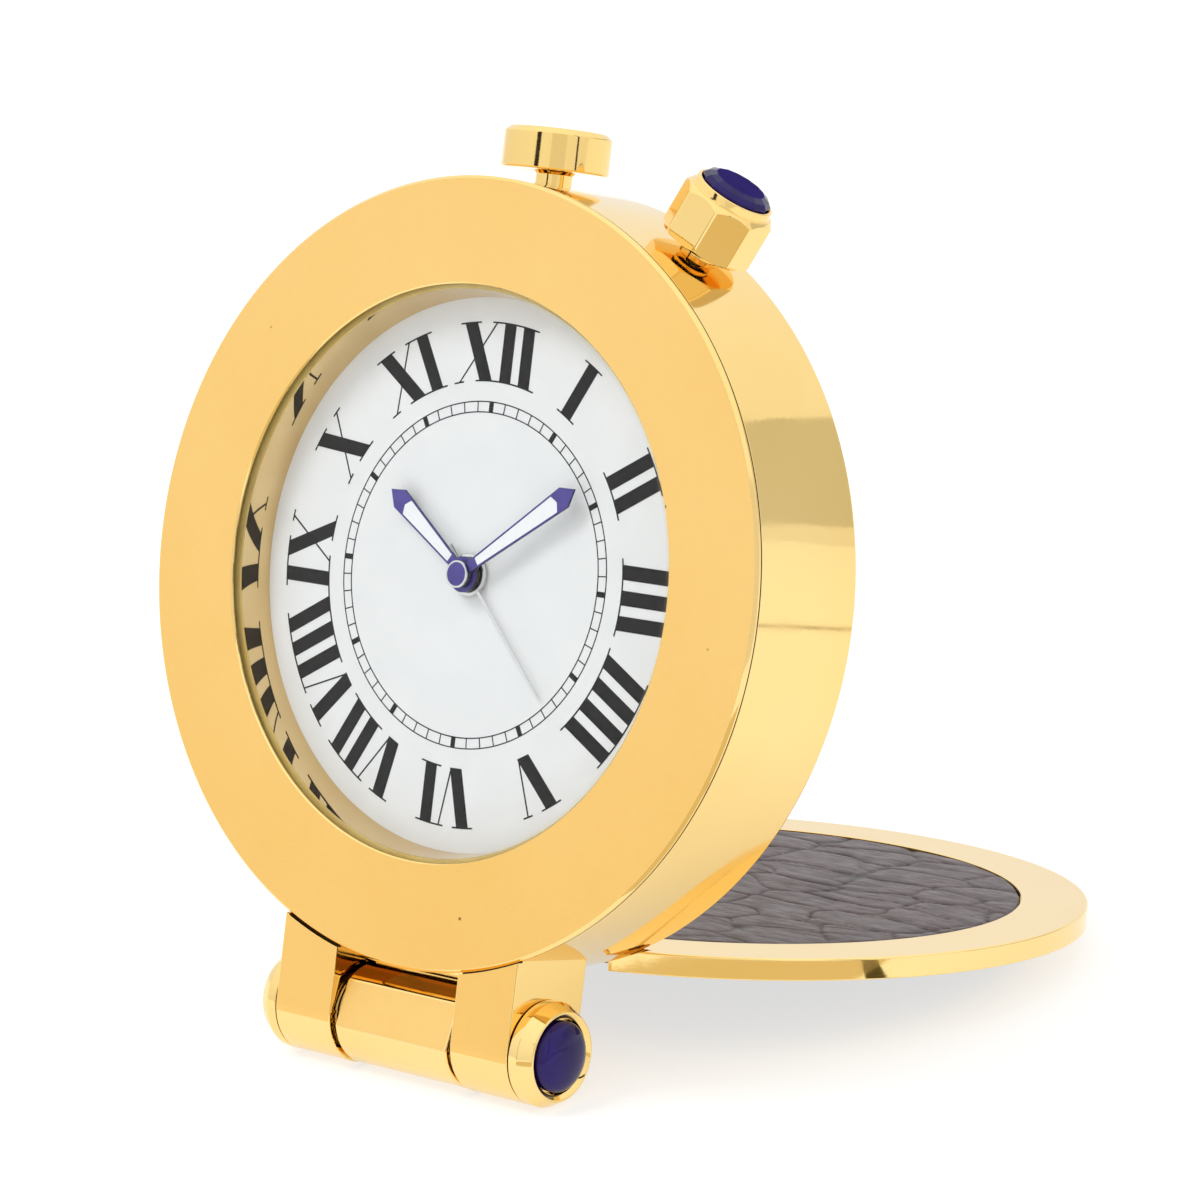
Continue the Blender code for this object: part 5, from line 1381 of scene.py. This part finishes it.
def make_floor():
    """Pale backlit floor: its own glow softens the shadows."""
    look = Look("studio_floor", (0.42, 0.42, 0.42), 0.9, Specular_IOR_Level=0.0)
    look.set(Base_Color=look.blend(look.noise(30.0), (0.415, 0.415, 0.415), (0.425, 0.425, 0.425)))
    look.set(Emission_Color=WHITE, Emission_Strength=0.66)
    shape = bmesh.new()
    bmesh.ops.create_grid(shape, x_segments=8, y_segments=8, size=FLOOR_HALF)
    floor = mesh_object("studio_floor", shape, Matrix.Translation((0.0, 0.0, -FLOOR_DROP)))
    floor.data.materials.append(look.material)


def glow_material(name, colour):
    material = bpy.data.materials.new(name)
    material.use_nodes = True
    tree = material.node_tree
    tree.nodes.clear()
    glow = add_node(tree, "ShaderNodeEmission", Color=colour, Strength=1.0)
    add_node(tree, "ShaderNodeOutputMaterial", Surface=glow.outputs["Emission"])
    return material


def towards_clock(azimuth, elevation, distance):
    """Place at a distance from the clock, with local Z towards it."""
    away = bearing(azimuth, elevation)
    place = (-away).to_track_quat("Z", "Y").to_matrix().to_4x4()
    place.translation = CLOCK_CENTRE + away * distance
    return place


def on_floor(azimuth, distance):
    """Place just over the floor, with local y pointing away from the clock."""
    away = bearing(azimuth, 0.0)
    centre = away * distance
    centre.z = CARD_LIFT
    return frame_of(away.cross(Vector((0.0, 0.0, 1.0))), away, centre)


def make_card(name, place, width, length, colour):
    """Grey card that only reflections see."""
    size = Matrix.Diagonal((width, length, 1.0, 1.0))
    shape = bmesh.new()
    bmesh.ops.create_grid(shape, x_segments=1, y_segments=1, size=0.5, matrix=size)
    card = mesh_object(name, shape, place)
    card.data.materials.append(glow_material(name, colour))
    card.visible_camera = False
    card.visible_diffuse = False
    card.visible_shadow = False
    card.visible_transmission = False


def make_cards():
    """Dark flags and grey cards that give the polished gold its contrast."""
    make_card("flag_front", towards_clock(-1.0, 12.0, 0.9), 0.15, 0.9, (0.03, 0.03, 0.03))
    make_card("flag_side", towards_clock(84.0, 12.0, 0.9), 0.06, 0.9, (0.05, 0.04, 0.03))
    make_card("card_right", towards_clock(44.0, 14.0, 0.9), 0.5, 0.7, (0.86, 0.84, 0.80))
    make_card("card_back", towards_clock(150.0, 10.9, 0.7), 0.72, 0.195, (0.70, 0.70, 0.68))
    make_card("card_edge", on_floor(44.0, 0.13), 0.13, 0.15, (0.80, 0.68, 0.45))
    make_card("strip_edge", on_floor(79.0, 0.08), 0.005, 0.07, (0.10, 0.08, 0.04))
    make_card("strip_low", on_floor(139.0, 0.155), 0.5, 0.006, (0.45, 0.40, 0.30))


def make_world():
    """White surroundings: plain for the camera and matt surfaces, graded for reflections."""
    world = bpy.data.worlds.new("studio")
    bpy.context.scene.world = world
    world.use_nodes = True
    tree = world.node_tree
    path = add_node(tree, "ShaderNodeLightPath")
    direction = add_node(tree, "ShaderNodeTexCoord").outputs["Generated"]
    height = add_node(tree, "ShaderNodeSeparateXYZ", Vector=direction).outputs["Z"]
    ends = {"From_Min": -0.1, "From_Max": 1.0, "To_Min": 0.92, "To_Max": 1.22}
    level = add_node(tree, "ShaderNodeMapRange", Value=height, **ends).outputs["Result"]
    for ray in ("Is Diffuse Ray", "Is Camera Ray"):
        level = add_node(tree, "ShaderNodeMix", Factor=path.outputs[ray], A=level, B=1.0).outputs["Result"]
    background = tree.nodes["Background"]
    plug(tree, background.inputs["Strength"], level)
    plug(tree, background.inputs["Color"], WHITE)


def make_light():
    """Soft key light from the upper left, which the polished gold doesn't mirror."""
    away, distance = bearing(-28.0, 52.0), 0.9
    lamp = bpy.data.lights.new("key", "AREA")
    lamp.shape = "DISK"
    lamp.size = 0.34
    lamp.energy = 2.3
    light = new_object("key", lamp, Matrix.Translation(CLOCK_CENTRE + away * distance))
    light.rotation_euler = (-away).to_track_quat("-Z", "Y").to_euler()
    light.visible_glossy = False


CAMERA_AZIMUTH = 40.861
CAMERA_ELEVATION = 13.853
CAMERA_ROLL = radians(-2.9005)
CAMERA_DISTANCE = 412.21 * MM
CAMERA_LENS = 141.64
CAMERA_AIM = (-3.4975 * MM, -4.5838 * MM, 34.2212 * MM)


def make_camera():
    """Camera in front and to the right, a little rolled, aimed below and left of the dial."""
    data = bpy.data.cameras.new("camera")
    data.lens = CAMERA_LENS
    data.sensor_width = 36.0
    data.clip_start = 0.01
    data.clip_end = 20.0
    back = bearing(CAMERA_AZIMUTH, CAMERA_ELEVATION)
    turn = (-back).to_track_quat("-Z", "Y").to_matrix() @ Matrix.Rotation(CAMERA_ROLL, 3, "Z")
    camera = new_object("camera", data, turn.to_4x4())
    camera.location = Vector(CAMERA_AIM) + back * CAMERA_DISTANCE
    bpy.context.scene.camera = camera


paint_cad_nodes()
make_bezel()
make_band()
make_case_back()
make_glazing()
make_rehaut()
make_ring("dial_disc", "dial", FACE, "dial_white", LATHE_STEPS, mouth=0.05 * MM)
make_numerals()
make_track()
make_hands()
make_alarm_hand()
make_crown()
make_crown_stone()
make_button()
make_hinge_ends()
make_cover_plate()
make_leather()
make_lining()
make_floor()
make_cards()
make_world()
make_light()
make_camera()
bpy.context.scene.view_settings.view_transform = "Standard"
